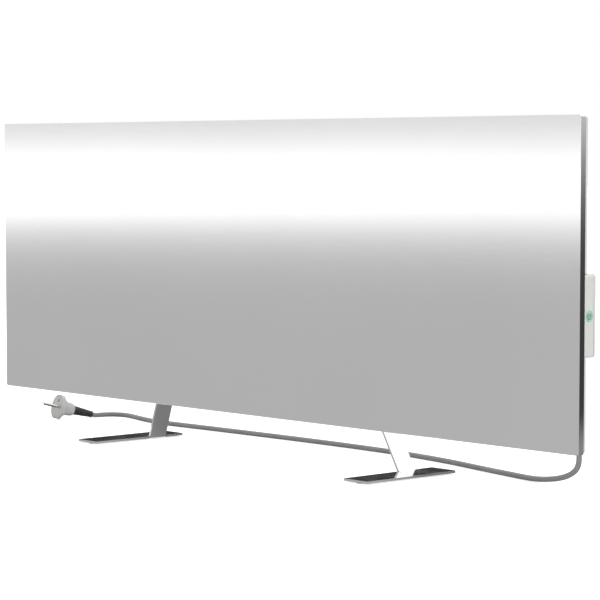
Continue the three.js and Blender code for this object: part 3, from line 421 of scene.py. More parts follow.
class Shades:
    """A new node material with a Principled shader and short ways to add nodes to it."""

    def __init__(self, name, base, roughness, metallic=0.0, **constant):
        self.material = bpy.data.materials.new(name)
        self.material.use_nodes = True
        self.tree = self.material.node_tree
        self.shader = self.tree.nodes["Principled BSDF"]
        self.base = base
        self.put("Metallic", metallic)
        self.put("Roughness", roughness)
        self.put("Base Color", (*base, 1.0))
        for socket, value in constant.items():
            self.put(socket.replace("_", " "), value)

    def put(self, socket, value):
        """Sets one of the shader's own sockets."""
        self.shader.inputs[socket].default_value = value

    def add(self, kind, **values):
        """A new node, with its sockets or settings by name."""
        node = self.tree.nodes.new(kind)
        for key, value in values.items():
            socket = node.inputs.get(key.replace("_", " "))
            if socket is not None:
                socket.default_value = value
            else:
                setattr(node, key, value)
        return node

    def link(self, source, target):
        """Joins an output to an input."""
        self.tree.links.new(source, target)

    def place(self, centre=(0, 0, 0), stretch=(1, 1, 1)):
        """Object coordinates, centred and stretched on the piece."""
        coordinates = self.add("ShaderNodeTexCoord")
        mapping = self.add("ShaderNodeMapping", vector_type="POINT")
        mapping.inputs["Location"].default_value = [-c * s for c, s in zip(centre, stretch)]
        mapping.inputs["Scale"].default_value = stretch
        self.link(coordinates.outputs["Object"], mapping.inputs["Vector"])
        return mapping.outputs["Vector"]

    def noise(self, vector, scale, detail):
        """A cloudy pattern; scale counts its patches in a metre."""
        node = self.add("ShaderNodeTexNoise", Scale=scale, Detail=detail)
        self.link(vector, node.inputs["Vector"])
        return node.outputs["Fac"]

    def spread(self, factor, low, high, socket, start=0.3, end=0.7):
        """A value that wanders between low and high over the surface."""
        node = self.add("ShaderNodeMapRange")
        node.inputs["From Min"].default_value = start
        node.inputs["From Max"].default_value = end
        node.inputs["To Min"].default_value = low
        node.inputs["To Max"].default_value = high
        self.link(factor, node.inputs["Value"])
        self.link(node.outputs["Result"], self.shader.inputs[socket])

    def tint(self, factor, dark, light, start=0.3, end=0.7):
        """The base colour between dark and light shares of itself."""
        ramp = self.add("ShaderNodeValToRGB")
        stops = ramp.color_ramp.elements
        stops[0].position, stops[1].position = start, end
        stops[0].color = (*(c * dark for c in self.base), 1.0)
        stops[1].color = (*(min(1.0, c * light) for c in self.base), 1.0)
        self.link(factor, ramp.inputs["Fac"])
        self.link(ramp.outputs["Color"], self.shader.inputs["Base Color"])
        return ramp

    def bump(self, height, distance):
        """A relief of a real depth."""
        node = self.add("ShaderNodeBump", Strength=1.0, Distance=distance)
        self.link(height, node.inputs["Height"])
        self.link(node.outputs["Normal"], self.shader.inputs["Normal"])


def grained(name, base, rough, wear, fine, relief, metallic=0.0, broad=None, stretch=(1, 1, 1), **constant):
    """A finish whose roughness and relief follow a fine grain, and its tone a broader one.

    fine and broad are a noise's scale and detail; without broad the tone follows the fine one.
    """
    shades = Shades(name, base, sum(rough) / 2, metallic, **constant)
    grain = shades.noise(shades.place(stretch=stretch), *fine)
    tone = shades.noise(shades.place(), *broad) if broad else grain
    shades.tint(tone, *wear)
    shades.spread(grain, *rough, "Roughness")
    shades.bump(grain, relief)
    return shades.material


def satin_sheet(panel):
    """Aluminium sheet, polished to a satin mirror, with a faint rolling grain along X."""
    return grained(
        "satin_aluminium",
        panel.tray_colour,
        rough=(panel.tray_roughness - 0.01, panel.tray_roughness + 0.012),
        wear=(0.985, 1.01),
        fine=(900.0, 4.0),
        broad=(3.0, 2.0),
        relief=0.0004 * MM,
        metallic=1.0,
        stretch=(0.04, 1.0, 1.0),
    )


def powder_coat(panel):
    """White powder coat with a fine orange-peel surface."""
    return grained(
        "white_powder_coat",
        panel.cover_colour,
        rough=(0.44, 0.58),
        wear=(0.95, 1.02),
        fine=(620.0, 2.0),
        broad=(7.0, 5.0),
        relief=0.06 * MM,
        IOR=1.5,
    )


def polished_steel(feet):
    """Bright stainless sheet with a fine lengthwise polish, and smudges from handling."""
    shades = Shades("polished_steel", feet.steel_colour, feet.steel_roughness, 1.0)
    polish = shades.noise(shades.place(stretch=(1.0, 0.05, 1.0)), 1400.0, 3.0)
    smudges = shades.noise(shades.place(), 38.0, 4.0)
    shades.tint(smudges, 0.96, 1.02)
    rough = feet.steel_roughness
    shades.spread(smudges, rough - 0.03, rough + 0.05, "Roughness")
    shades.bump(polish, 0.0008 * MM)
    return shades.material


def plated_steel():
    """Zinc plated screws, nuts and plates, which share one material."""
    name = "zinc_plated_steel"
    return bpy.data.materials.get(name) or grained(
        name,
        (0.60, 0.61, 0.62),
        rough=(0.24, 0.4),
        wear=(0.88, 1.05),
        fine=(420.0, 4.0),
        relief=0.01 * MM,
        metallic=1.0,
    )


def moulded(name, base, roughness, scale=900.0, relief=0.03 * MM, wear=(0.95, 1.03)):
    """Moulded plastic or rubber with the fine spark-eroded texture of its tool."""
    rough = (roughness - 0.06, roughness + 0.07)
    return grained(name, base, rough, wear, (scale, 2.0), relief, broad=(45.0, 5.0), IOR=1.48)


def lead_rubber_and_painted_shade(lead):
    """The near-black rubber that the plug's boot and the strain relief under the box share; on the boot its
    darkness is also painted shade under the grip.
    """
    name = "lead_rubber_and_painted_shade"
    return bpy.data.materials.get(name) or moulded(name, lead.rubber_and_painted_shade_colour, 0.6, 700.0)


def button_metal(settings, centre):
    """A turned cap: fine rings round its own axis."""
    shades = Shades("turned_cap", settings.cap_colour, 0.42, 0.85)
    rings = shades.add("ShaderNodeTexWave", wave_type="RINGS", rings_direction="X", Scale=900.0)
    rings.inputs["Distortion"].default_value = 0.6
    shades.link(shades.place(centre=centre), rings.inputs["Vector"])
    shades.tint(rings.outputs["Fac"], 0.9, 1.06, 0.0, 1.0)
    shades.spread(rings.outputs["Fac"], 0.36, 0.5, "Roughness", 0.0, 1.0)
    shades.bump(rings.outputs["Fac"], 0.01 * MM)
    return shades.material


def lit_ring(settings):
    """The ring's lens: translucent green, lit a little unevenly by the lamps under it."""
    shades = Shades("lit_ring_lens", settings.ring_colour, 0.28, IOR=1.49)
    lamps = shades.noise(shades.place(), 260.0, 1.0)
    tones = shades.tint(lamps, 0.82, 1.2)
    shades.link(tones.outputs["Color"], shades.shader.inputs["Emission Color"])
    shades.put("Emission Strength", settings.ring_glow)
    shades.put("Coat Weight", 0.4)
    shades.spread(lamps, 0.22, 0.36, "Roughness")
    return shades.material


def lead_sheath(lead):
    """Soft grey sheath with faint flow lines and a trace of dust."""
    return grained(
        "lead_sheath",
        lead.sheath_colour,
        rough=(0.46, 0.6),
        wear=(0.92, 1.08),
        fine=(300.0, 3.0),
        broad=(26.0, 4.0),
        relief=0.03 * MM,
        IOR=1.5,
    )


def nickel(lead):
    """Nickel plated brass, dulled a little by use."""
    return grained(
        "nickel_plate",
        lead.nickel_colour,
        rough=(0.14, 0.3),
        wear=(0.9, 1.05),
        fine=(300.0, 4.0),
        relief=0.006 * MM,
        metallic=1.0,
    )


def printed_film():
    """The heating film: dark carbon print between pale bus bars."""
    shades = Shades("carbon_film", (0.05, 0.04, 0.035), 0.6)
    bands = shades.add("ShaderNodeTexWave", wave_type="BANDS", bands_direction="Z", Scale=16.0)
    shades.link(shades.place(), bands.inputs["Vector"])
    shades.tint(bands.outputs["Fac"], 0.6, 2.4, 0.35, 0.6)
    shades.spread(bands.outputs["Fac"], 0.45, 0.7, "Roughness")
    return shades.material


def bright_foil():
    """The reflector: thin foil, lightly creased."""
    return grained(
        "bright_foil",
        (0.86, 0.87, 0.88),
        rough=(0.15, 0.35),
        wear=(0.9, 1.03),
        fine=(60.0, 6.0),
        relief=0.4 * MM,
        metallic=1.0,
    )


def fibre_board():
    """The insulation: pressed mineral fibre."""
    return grained(
        "fibre_board",
        (0.55, 0.50, 0.42),
        rough=(0.86, 1.0),
        wear=(0.75, 1.12),
        fine=(240.0, 6.0),
        relief=0.3 * MM,
        stretch=(1.0, 0.4, 1.0),
    )


def glazed_ceramic():
    """The terminal block and the bodies of the thermal cut-outs."""
    return grained(
        "glazed_ceramic",
        (0.76, 0.73, 0.64),
        rough=(0.2, 0.42),
        wear=(0.92, 1.05),
        fine=(160.0, 3.0),
        relief=0.03 * MM,
        IOR=1.55,
    )


def dress_node(node, material):
    """Gives a carried-over CAD node its material."""
    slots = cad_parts[node].data.materials
    slots.clear()
    slots.append(material)


# ------------------------------------------------------------------ camera and stage

# The camera, fitted to the edges of the face, the box and the feet in the photograph: metres and
# radians, its focal length in the photograph's pixels and its sensor in millimetres.
CAMERA_PLACE = (2.41204, -2.09600, 0.40894)
CAMERA_YAW = -0.8372
CAMERA_PITCH = 0.06097
PHOTO_SIZE = 600
FOCAL_PIXELS = 2369.98
SENSOR = 36.0


class HEATER_OT_camera(bpy.types.Operator):
    """Place the camera where the photograph was taken from"""

    bl_idname = "heater.camera"
    bl_label = "Camera"

    def execute(self, context):
        data = bpy.data.cameras.new("photo_camera")
        data.sensor_width = SENSOR
        data.lens = FOCAL_PIXELS * SENSOR / PHOTO_SIZE
        data.clip_end = 200.0
        camera = bpy.data.objects.new("photo_camera", data)
        camera.location = CAMERA_PLACE
        camera.rotation_euler = (math.pi / 2 - CAMERA_PITCH, 0.0, -CAMERA_YAW)
        context.collection.objects.link(camera)
        context.scene.camera = camera
        return {"FINISHED"}


def ramp_node(tree, factor, stops):
    """A grey ramp over factor, from (position, tone) stops."""
    ramp = tree.nodes.new("ShaderNodeValToRGB")
    elements = ramp.color_ramp.elements
    while len(elements) < len(stops):
        elements.new(0.5)
    for element, (position, tone) in zip(elements, stops):
        element.position = position
        element.color = (tone, tone, tone, 1.0)
    tree.links.new(factor, ramp.inputs["Fac"])
    return ramp.outputs["Color"]


def ranged(tree, value, low, high):
    """Value as a share of the way from low to high."""
    node = tree.nodes.new("ShaderNodeMapRange")
    node.inputs["From Min"].default_value = low
    node.inputs["From Max"].default_value = high
    tree.links.new(value, node.inputs["Value"])
    return node.outputs["Result"]


def mixed(tree, factor, first, second):
    """A colour between two others."""
    node = tree.nodes.new("ShaderNodeMix")
    node.data_type = "RGBA"
    tree.links.new(factor, node.inputs["Factor"])
    tree.links.new(first, node.inputs["A"])
    tree.links.new(second, node.inputs["B"])
    return node.outputs["Result"]


def shader_mix(tree, factor, first, second):
    """The second shader where the factor is 1, and the first where it is 0."""
    node = tree.nodes.new("ShaderNodeMixShader")
    tree.links.new(factor, node.inputs[0])
    tree.links.new(first, node.inputs[1])
    tree.links.new(second, node.inputs[2])
    return node.outputs[0]


def glow(tree, kind, colour_source=None, tone=1.0, strength=1.0):
    """An Emission or Background shader."""
    node = tree.nodes.new(kind)
    node.inputs["Color"].default_value = (tone, tone, tone, 1.0)
    node.inputs["Strength"].default_value = strength
    if colour_source is not None:
        tree.links.new(colour_source, node.inputs["Color"])
    return node.outputs[0]


# Tones that metal shows of the studio: a bright band at the horizon in front, a dim wall over
# it, and a dark room behind with light above it. Heights are the sine of the elevation.
FRONT_WALL = [(-0.10, 1.35), (-0.004, 1.3), (0.004, 0.965), (0.010, 0.715), (0.02, 0.66), (0.30, 1.0)]
BACK_RIGHT_WALL = [(-0.10, 0.14), (-0.012, 0.16), (0.003, 0.34), (0.018, 0.56), (0.30, 1.3)]
BACK_LEFT_WALL = [(-0.10, 0.03), (0.0, 0.035), (0.17, 0.045), (0.24, 0.35), (0.32, 1.1)]
WALL_LOW, WALL_HIGH = -0.12, 0.40
# Tones of the floor that metal shows, over the distance from its middle in metres.
FRONT_FLOOR = [(3.5, 0.0), (4.4, 0.012), (5.4, 0.03), (6.6, 0.075), (8.2, 0.165), (10.6, 0.35), (14.5, 1.0)]
BACK_FLOOR = [(5.0, 0.0), (8.0, 0.06), (11.0, 0.2), (15.0, 0.5), (20.0, 0.8), (27.0, 1.0)]
FRONT_FAR_TONE, BACK_FAR_TONE = 1.35, 0.16
# The same in the panel's shade, over the distance behind it.
SHADE_FLOOR = [(0.0, 0.3), (0.05, 0.22), (0.2, 0.2), (0.45, 0.45)]
SHADE_DEPTH = 0.5
# Where one gives way to the next: parts of a direction for the walls, metres for the floor.
WALL_BEHIND, WALL_RIGHT = (-0.25, 0.25), (-0.6, -0.15)
FLOOR_BEHIND, FLOOR_OPEN = (-0.05, 0.03), (0.7, 1.2)
# What the camera sees of the floor: its own paint, and the even light that lifts it to white.
FLOOR_PAINT, FLOOR_LIFT = 0.8, 0.62


def wall_ramp(tree, height, stops):
    """A wall's tones over the height of the direction that metal shows."""
    span = WALL_HIGH - WALL_LOW
    return ramp_node(tree, height, [((z - WALL_LOW) / span, tone) for z, tone in stops])


def studio_world(stage):
    """White to the camera, an even fill for plain surfaces, a studio for metal."""
    world = bpy.data.worlds.new("studio")
    world.use_nodes = True
    tree = world.node_tree
    tree.nodes.clear()
    output = tree.nodes.new("ShaderNodeOutputWorld")
    path = tree.nodes.new("ShaderNodeLightPath")
    direction = tree.nodes.new("ShaderNodeTexCoord")
    parts = tree.nodes.new("ShaderNodeSeparateXYZ")
    tree.links.new(direction.outputs["Generated"], parts.inputs[0])
    height = ranged(tree, parts.outputs["Z"], WALL_LOW, WALL_HIGH)
    behind = ranged(tree, parts.outputs["Y"], *WALL_BEHIND)
    rightwards = ranged(tree, parts.outputs["X"], *WALL_RIGHT)
    back = mixed(
        tree,
        rightwards,
        wall_ramp(tree, height, BACK_LEFT_WALL),
        wall_ramp(tree, height, BACK_RIGHT_WALL),
    )
    studio = mixed(tree, behind, wall_ramp(tree, height, FRONT_WALL), back)
    even = glow(tree, "ShaderNodeBackground", strength=stage.fill)
    shown = shader_mix(
        tree, path.outputs["Is Glossy Ray"], even, glow(tree, "ShaderNodeBackground", studio)
    )
    seen = shader_mix(
        tree, path.outputs["Is Camera Ray"], shown, glow(tree, "ShaderNodeBackground")
    )
    tree.links.new(seen, output.inputs["Surface"])
    return world


def floor_ramp(tree, far, radius, stops, near_tone, far_tone):
    """The floor's tones from near to far."""
    span = far_tone - near_tone
    return ramp_node(tree, far, [(r / radius, near_tone + span * s) for r, s in stops])


def floor_material(stage):
    """Pale floor: white to the camera but for contact shadows, toned for metal to show."""
    material = bpy.data.materials.new("pale_floor")
    material.use_nodes = True
    tree = material.node_tree
    tree.nodes.clear()
    output = tree.nodes.new("ShaderNodeOutputMaterial")
    path = tree.nodes.new("ShaderNodeLightPath")
    place = tree.nodes.new("ShaderNodeTexCoord")
    parts = tree.nodes.new("ShaderNodeSeparateXYZ")
    reach = tree.nodes.new("ShaderNodeVectorMath")
    reach.operation = "LENGTH"
    tree.links.new(place.outputs["Object"], reach.inputs[0])
    tree.links.new(place.outputs["Object"], parts.inputs[0])
    far = ranged(tree, reach.outputs["Value"], 0.0, stage.floor_radius)
    front = floor_ramp(tree, far, stage.floor_radius, FRONT_FLOOR, stage.near_floor, FRONT_FAR_TONE)
    back = floor_ramp(tree, far, stage.floor_radius, BACK_FLOOR, stage.back_floor, BACK_FAR_TONE)
    depth = ranged(tree, parts.outputs["Y"], 0.0, SHADE_DEPTH)
    shade = ramp_node(tree, depth, [(y / SHADE_DEPTH, tone) for y, tone in SHADE_FLOOR])
    back = mixed(tree, ranged(tree, parts.outputs["X"], *FLOOR_OPEN), shade, back)
    behind = ranged(tree, parts.outputs["Y"], *FLOOR_BEHIND)
    toned = glow(tree, "ShaderNodeEmission", mixed(tree, behind, front, back))
    diffuse = tree.nodes.new("ShaderNodeBsdfDiffuse")
    diffuse.inputs["Color"].default_value = (FLOOR_PAINT, FLOOR_PAINT, FLOOR_PAINT, 1.0)
    lift = tree.nodes.new("ShaderNodeAddShader")
    tree.links.new(diffuse.outputs[0], lift.inputs[0])
    tree.links.new(glow(tree, "ShaderNodeEmission", tone=FLOOR_LIFT), lift.inputs[1])
    other = shader_mix(tree, path.outputs["Is Glossy Ray"], diffuse.outputs[0], toned)
    seen = shader_mix(tree, path.outputs["Is Camera Ray"], other, lift.outputs[0])
    tree.links.new(seen, output.inputs["Surface"])
    return material


LAMP_SIZE = 2.2


def soft_lamp(name, place, target, power):
    """A large round lamp that metal doesn't mirror."""
    data = bpy.data.lights.new(name, "AREA")
    data.shape = "DISK"
    data.size = LAMP_SIZE
    data.energy = power
    lamp = bpy.data.objects.new(name, data)
    lamp.location = place
    aim = Vector(target) - Vector(place)
    lamp.rotation_euler = aim.to_track_quat("-Z", "Y").to_euler()
    lamp.visible_glossy = False
    bpy.context.collection.objects.link(lamp)


class HEATER_OT_stage(bpy.types.Operator):
    """Make the pale floor, the soft lamps and the white surroundings"""

    bl_idname = "heater.stage"
    bl_label = "Stage"

    def execute(self, context):
        stage = context.scene.heater_stage
        bm = bmesh.new()
        bmesh.ops.create_circle(bm, cap_ends=True, segments=96, radius=stage.floor_radius)
        mesh = bpy.data.meshes.new("floor")
        bm.to_mesh(mesh)
        bm.free()
        mesh.materials.append(floor_material(stage))
        floor = bpy.data.objects.new("floor", mesh)
        context.collection.objects.link(floor)
        soft_lamp("key", (1.1, -1.7, 2.3), (0.1, 0.0, 0.2), stage.key_power)
        soft_lamp("rim", (-1.6, 1.8, 2.0), (0.0, 0.0, 0.2), stage.rim_power)
        context.scene.world = studio_world(stage)
        context.scene.view_settings.view_transform = "Standard"
        return {"FINISHED"}


# ------------------------------------------------------------------ mains lead and plug

def smooth_handles(points):
    """Bezier handles of the centripetal curve through the points."""
    ends = [points[0] * 2 - points[1], *points, points[-1] * 2 - points[-2]]
    before, after = [None], []
    for p0, p1, p2, p3 in zip(ends, ends[1:], ends[2:], ends[3:]):
        t0, t1, t2 = ((b - a).length ** 0.5 for a, b in ((p0, p1), (p1, p2), (p2, p3)))
        leave = ((p1 - p0) / t0 - (p2 - p0) / (t0 + t1) + (p2 - p1) / t1) * t1
        arrive = ((p2 - p1) / t1 - (p3 - p1) / (t1 + t2) + (p3 - p2) / t2) * t1
        after.append(p1 + leave / 3)
        before.append(p2 - arrive / 3)
    before[0] = points[0] * 2 - after[0]
    after.append(points[-1] * 2 - before[-1])
    return before, after


class HEATER_OT_lead(bpy.types.Operator):
    """Lay the mains lead along its route"""

    bl_idname = "heater.lead"
    bl_label = "Mains lead"

    def execute(self, context):
        lead = context.scene.heater_lead
        points = [Vector(p) for p in CORD_ROUTE]
        before, after = smooth_handles(points)
        data = bpy.data.curves.new("mains_lead", "CURVE")
        data.dimensions = "3D"
        data.resolution_u = lead.curve_steps
        data.bevel_depth = lead.diameter / 2
        data.bevel_resolution = 5
        data.use_fill_caps = True
        spline = data.splines.new("BEZIER")
        spline.bezier_points.add(len(points) - 1)
        for bezier, point, left, right in zip(spline.bezier_points, points, before, after):
            bezier.handle_left_type = bezier.handle_right_type = "FREE"
            bezier.co, bezier.handle_left, bezier.handle_right = point, left, right
        data.materials.append(lead_sheath(lead))
        cable = bpy.data.objects.new("mains_lead", data)
        context.collection.objects.link(cable)
        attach(cable, HEATER)
        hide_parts("cord")
        dress_node("cord_tail", data.materials[0])
        return {"FINISHED"}


def plug_frame():
    """The plug's own axes: along its pins, across, and up."""
    across = Vector((-PLUG_HEADING.y, PLUG_HEADING.x, 0.0))
    up = PLUG_AXIS.cross(across)
    turn = Matrix((PLUG_AXIS, across, up)).transposed().to_4x4()
    return Matrix.Translation(PLUG_START + PLUG_AXIS * CORD_GAP) @ turn


def on_plug(bm):
    """Lays a piece, made along X, where the plug lies."""
    bmesh.ops.transform(bm, matrix=plug_frame(), verts=bm.verts)
    return bm


# One rib of a boot, as [share of the pitch, share of the groove's depth].
RIB_SHAPE = [(0.0, 0.12), (0.06, 0.5), (0.14, 1.0), (0.42, 1.0), (0.5, 0.5), (0.58, 0.12), (0.66, 0.0)]
RIB_SHAPE += [(0.92, 0.0)]


def ribbed(start, end, tip, root, ribs, depth):
    """Profile points of a boot's ribs, with rounded crests, from its tip to its root."""
    pitch = (end - start) / ribs
    points = []
    for rib in range(ribs):
        crest = tip + (root - tip) * (rib + 0.5) / ribs
        points += [(crest - depth * drop, start + (rib + along) * pitch) for along, drop in RIB_SHAPE]
    return points


def boot_mesh():
    """The plug's rubber boot, ribbed so that it bends with the lead."""
    profile = [(0.0, 0.0), (BOOT_TIP - 0.5, 0.0), (BOOT_TIP - 0.12, 0.15), (BOOT_TIP, 0.6)]
    profile += [(BOOT_TIP, 1.8)]
    profile += ribbed(2.0, BOOT_LENGTH - 3.0, BOOT_TIP, BOOT_ROOT - 0.1, BOOT_RIBS, 0.95)
    profile += [
        (BOOT_ROOT - 0.3, BOOT_LENGTH - 2.6),
        (BOOT_ROOT, BOOT_LENGTH - 2.1),
        (BOOT_ROOT, BOOT_LENGTH - 0.5),
        (BOOT_ROOT - 0.3, BOOT_LENGTH - 0.2),
        (5.8, BOOT_LENGTH - 0.2),
        (5.8, BOOT_LENGTH + 4.5),
        (0.0, BOOT_LENGTH + 4.5),
    ]
    return on_plug(turned(profile, 40, X_AXIS))


def plug_body_mesh():
    """The moulded body: a slim grip that opens into a round rim with a recessed face."""
    rim_start = PLUG_LENGTH - RIM_THICKNESS
    profile = [
        (0.0, BOOT_LENGTH + 4.8),
        (6.0, BOOT_LENGTH + 4.8),
        (6.0, BOOT_LENGTH + 0.4),
        (6.4, BOOT_LENGTH),
        (SHOULDER_RADIUS - 0.8, BOOT_LENGTH),
        (SHOULDER_RADIUS - 0.2, BOOT_LENGTH + 0.3),
        (SHOULDER_RADIUS + 0.25, BOOT_LENGTH + 1.0),
        (GRIP_RADIUS - 0.9, BOOT_LENGTH + 2.8),
        (GRIP_RADIUS - 0.45, BOOT_LENGTH + 5.0),
        (GRIP_RADIUS - 0.15, BOOT_LENGTH + 8.0),
        (GRIP_RADIUS + 0.15, (BOOT_LENGTH + rim_start) / 2 + 1.2),
        (GRIP_RADIUS + 0.9, rim_start - 7.2),
        (GRIP_RADIUS + 2.2, rim_start - 5.2),
        (GRIP_RADIUS + 4.0, rim_start - 3.2),
        (GRIP_RADIUS + 6.0, rim_start - 1.4),
        (RIM_RADIUS - 1.9, rim_start - 0.3),
        (RIM_RADIUS - 0.9, rim_start + 0.25),
        (RIM_RADIUS - 0.25, rim_start + 0.7),
        (RIM_RADIUS, rim_start + 1.4),
        (RIM_RADIUS, PLUG_LENGTH - 1.2),
        (RIM_RADIUS - 0.3, PLUG_LENGTH - 0.45),
        (RIM_RADIUS - 1.1, PLUG_LENGTH),
        (RIM_RADIUS - 2.2, PLUG_LENGTH),
        (RIM_RADIUS - 2.7, PLUG_LENGTH - 0.35),
        (RIM_RADIUS - 2.9, PLUG_LENGTH - FACE_RECESS),
        (0.0, PLUG_LENGTH - FACE_RECESS),
    ]
    bm = turned(profile, 64, X_AXIS)
    press_grooves(bm, rim_start * MM)
    sink_socket(bm)
    return on_plug(bm)


def press_grooves(bm, rim_start):
    """A groove at the top and at the bottom of the rim, where the earth clips lie."""
    for side in (-1, 1):
        faces = []
        for face in bm.faces:
            middle = face.calc_center_median()
            on_rim = rim_start - 1.5 * MM < middle.x < (PLUG_LENGTH - 0.2) * MM
            outside = side * middle.z > (RIM_RADIUS - 3.4) * MM
            if on_rim and outside and abs(middle.y) < GROOVE_WIDTH / 2 * MM:
                faces.append(face)
        made = bmesh.ops.extrude_face_region(bm, geom=faces)
        bmesh.ops.delete(bm, geom=faces, context="FACES_ONLY")
        moved = [v for v in made["geom"] if isinstance(v, bmesh.types.BMVert)]
        bmesh.ops.translate(bm, vec=(0, 0, -side * GROOVE_DEPTH * MM), verts=moved)


def sink_socket(bm):
    """The earth socket: a round well in the face above the pins."""
    centre = Vector(((PLUG_LENGTH - FACE_RECESS) * MM, 0.0, PIN_SPACING / 2 * MM))
    level = 0.01 * MM
    disc = [f for f in bm.faces if f.normal.x > 0.99 and abs(f.calc_center_median().x - centre.x) < level]
    bmesh.ops.dissolve_faces(bm, faces=disc)
    face = cell_face(bm, centre, X_AXIS, (SOCKET_RADIUS + 1.0) * MM)
    rings = [
        (SOCKET_RADIUS + 0.35, 0.0),
        (SOCKET_RADIUS + 0.1, 0.12),
        (SOCKET_RADIUS, 0.4),
        (SOCKET_RADIUS, SOCKET_DEPTH - 1.0),
    ]
    press_round(bm, face, centre, X_AXIS, [(r * MM, d * MM) for r, d in rings])


def pin_mesh(side):
    """A round-nosed pin with its insulating sleeve at the root."""
    reach = PIN_SEAT + PIN_LENGTH - 0.15
    sleeve = PIN_SEAT + 9.0
    profile = [
        (0.0, 0.0),
        (PIN_RADIUS, 0.0),
        (PIN_RADIUS, sleeve),
        (PIN_RADIUS - 0.12, sleeve + 0.15),
        (PIN_RADIUS - 0.12, reach - 2.2),
        (PIN_RADIUS * 0.86, reach - 1.1),
        (PIN_RADIUS * 0.62, reach - 0.35),
        (PIN_RADIUS * 0.3, reach),
        (0.0, reach),
    ]
    place = ((PLUG_LENGTH - PIN_SEAT + 0.15) * MM, side * PIN_SPACING / 2 * MM, 0)
    return on_plug(turned(profile, 24, X_AXIS, place))


def clip_mesh(side):
    """An earth clip: a thin sprung strip, arched outwards in its groove."""
    span, width, sheet = (RIM_THICKNESS - 0.4) * MM, GROOVE_WIDTH * 0.48 * MM, 0.6 * MM
    arch, ends = 0.5 * MM, 0.3 * MM
    half = Vector((span, width, sheet)) / 2
    bm = box_mesh(-half, half)
    bmesh.ops.subdivide_edges(bm, edges=edges_along(bm, X_AXIS), cuts=7)
    for vert in bm.verts:
        vert.co.z += arch * (1 - (2 * vert.co.x / span) ** 2) - ends
    bevel(bm, edges_along(bm, Z_AXIS, lambda m: abs(m.x) > span * 0.45), 0.8 * MM, 3)
    if side < 0:
        bmesh.ops.rotate(bm, cent=(0, 0, 0), matrix=Matrix.Rotation(math.pi, 3, "X"), verts=bm.verts)
    middle = (PLUG_LENGTH - RIM_THICKNESS / 2 - 0.2) * MM
    rise = side * (RIM_RADIUS - GROOVE_DEPTH + 0.8) * MM
    bmesh.ops.translate(bm, vec=(middle, 0, rise), verts=bm.verts)
    return on_plug(bm)


class HEATER_OT_plug(bpy.types.Operator):
    bl_idname = "heater.plug"
    bl_label = "Plug"

    def execute(self, context):
        lead = context.scene.heater_lead
        plastic = moulded("plug_plastic", lead.plug_colour, 0.45)
        # The boot's near-black is its rubber, and also painted shade under the grip.
        rubber = lead_rubber_and_painted_shade(lead)
        parts = [
            finish_piece("plug_shell", plug_body_mesh(), plastic, ["plug_body"]),
            finish_piece("plug_sleeve", boot_mesh(), rubber, ["plug_boot"], sharp=55.0),
        ]
        metal = nickel(lead)
        for index, side in enumerate((1, -1), start=1):
            for name, piece in (("pin", pin_mesh(side)), ("clip", clip_mesh(side))):
                nodes = [f"plug_{name}_{index}"]
                parts.append(finish_piece(f"{name}_{index}", piece, metal, nodes))
        return {"FINISHED"}


class HEATER_OT_gland(bpy.types.Operator):
    """Mould the ribbed strain relief under the box"""

    bl_idname = "heater.gland"
    bl_label = "Strain relief"

    def execute(self, context):
        low, high, middle = solid_box("cord_gland")
        tip, top = low.z / MM, high.z / MM
        root = solid_box("box_base")[0].z / MM - 0.2
        profile = [(0.0, tip), (3.7, tip), (4.0, tip + 0.15), (4.1, tip + 0.5), (4.1, tip + 2.0)]
        profile += ribbed(tip + 2.4, root - 3.6, 4.15, 5.1, 6, 0.75)
        profile += [(5.2, root - 3.2), (5.4, root - 2.7), (5.4, root - 0.3), (5.1, root), (4.2, root)]
        profile += [(4.2, top - 2.0), (5.2, top - 2.0), (5.2, top - 0.3), (4.9, top), (0.0, top)]
        relief = turned(profile, 36, Z_AXIS, (middle.x, middle.y, 0))
        rubber = lead_rubber_and_painted_shade(context.scene.heater_lead)
        finish_piece("strain_relief", relief, rubber, ["cord_gland"], sharp=50.0)
        return {"FINISHED"}


# ------------------------------------------------------------------ radiating tray and cover

class HEATER_OT_tray(bpy.types.Operator):
    """Fold the radiating tray from one satin sheet"""

    bl_idname = "heater.tray"
    bl_label = "Radiating tray"

    def execute(self, context):
        settings = context.scene.heater_panel
        low, high, middle = solid_box("front_panel")
        bm = box_mesh(low, high)
        back = [f for f in bm.faces if f.normal.y > 0.9]
        bmesh.ops.delete(bm, geom=back, context="FACES_ONLY")
        bevel(bm, edges_along(bm, Y_AXIS), settings.corner, 6)
        rim = [e for e in bm.edges if e.is_boundary]
        made = bmesh.ops.extrude_edge_only(bm, edges=rim)
        lip = [v for v in made["geom"] if isinstance(v, bmesh.types.BMVert)]
        size = high - low
        inward = Vector(((size.x - 2 * settings.lip) / size.x, 1, (size.z - 2 * settings.lip) / size.z))
        bmesh.ops.scale(bm, vec=inward, space=Matrix.Translation(-middle), verts=lip)
        folds = []
        for edge in bm.edges:
            level = abs((edge.verts[0].co - edge.verts[1].co).y) < 1e-6
            if level and edge.is_manifold and edge.calc_face_angle(0.0) > math.radians(69.0):
                folds.append(edge)
        bevel(bm, folds, settings.fold_radius, 5)
        bmesh.ops.recalc_face_normals(bm, faces=bm.faces)
        metal, sheet = satin_sheet(settings), settings.sheet
        finish_piece("front_tray", bm, metal, ["front_panel"], sharp=60.0, sheet=sheet)
        return {"FINISHED"}


# The cover's pressed fields as [middle X, width], in millimetres.
COVER_FIELDS = [(0.0, 416.0), (393.25, 205.5), (-393.25, 205.5)]
COVER_CORNER, FIELD_HEIGHT, FIELD_CORNER = 3.0, 327.6, 14.0
FOOT_HOLE_RADIUS = 2.65
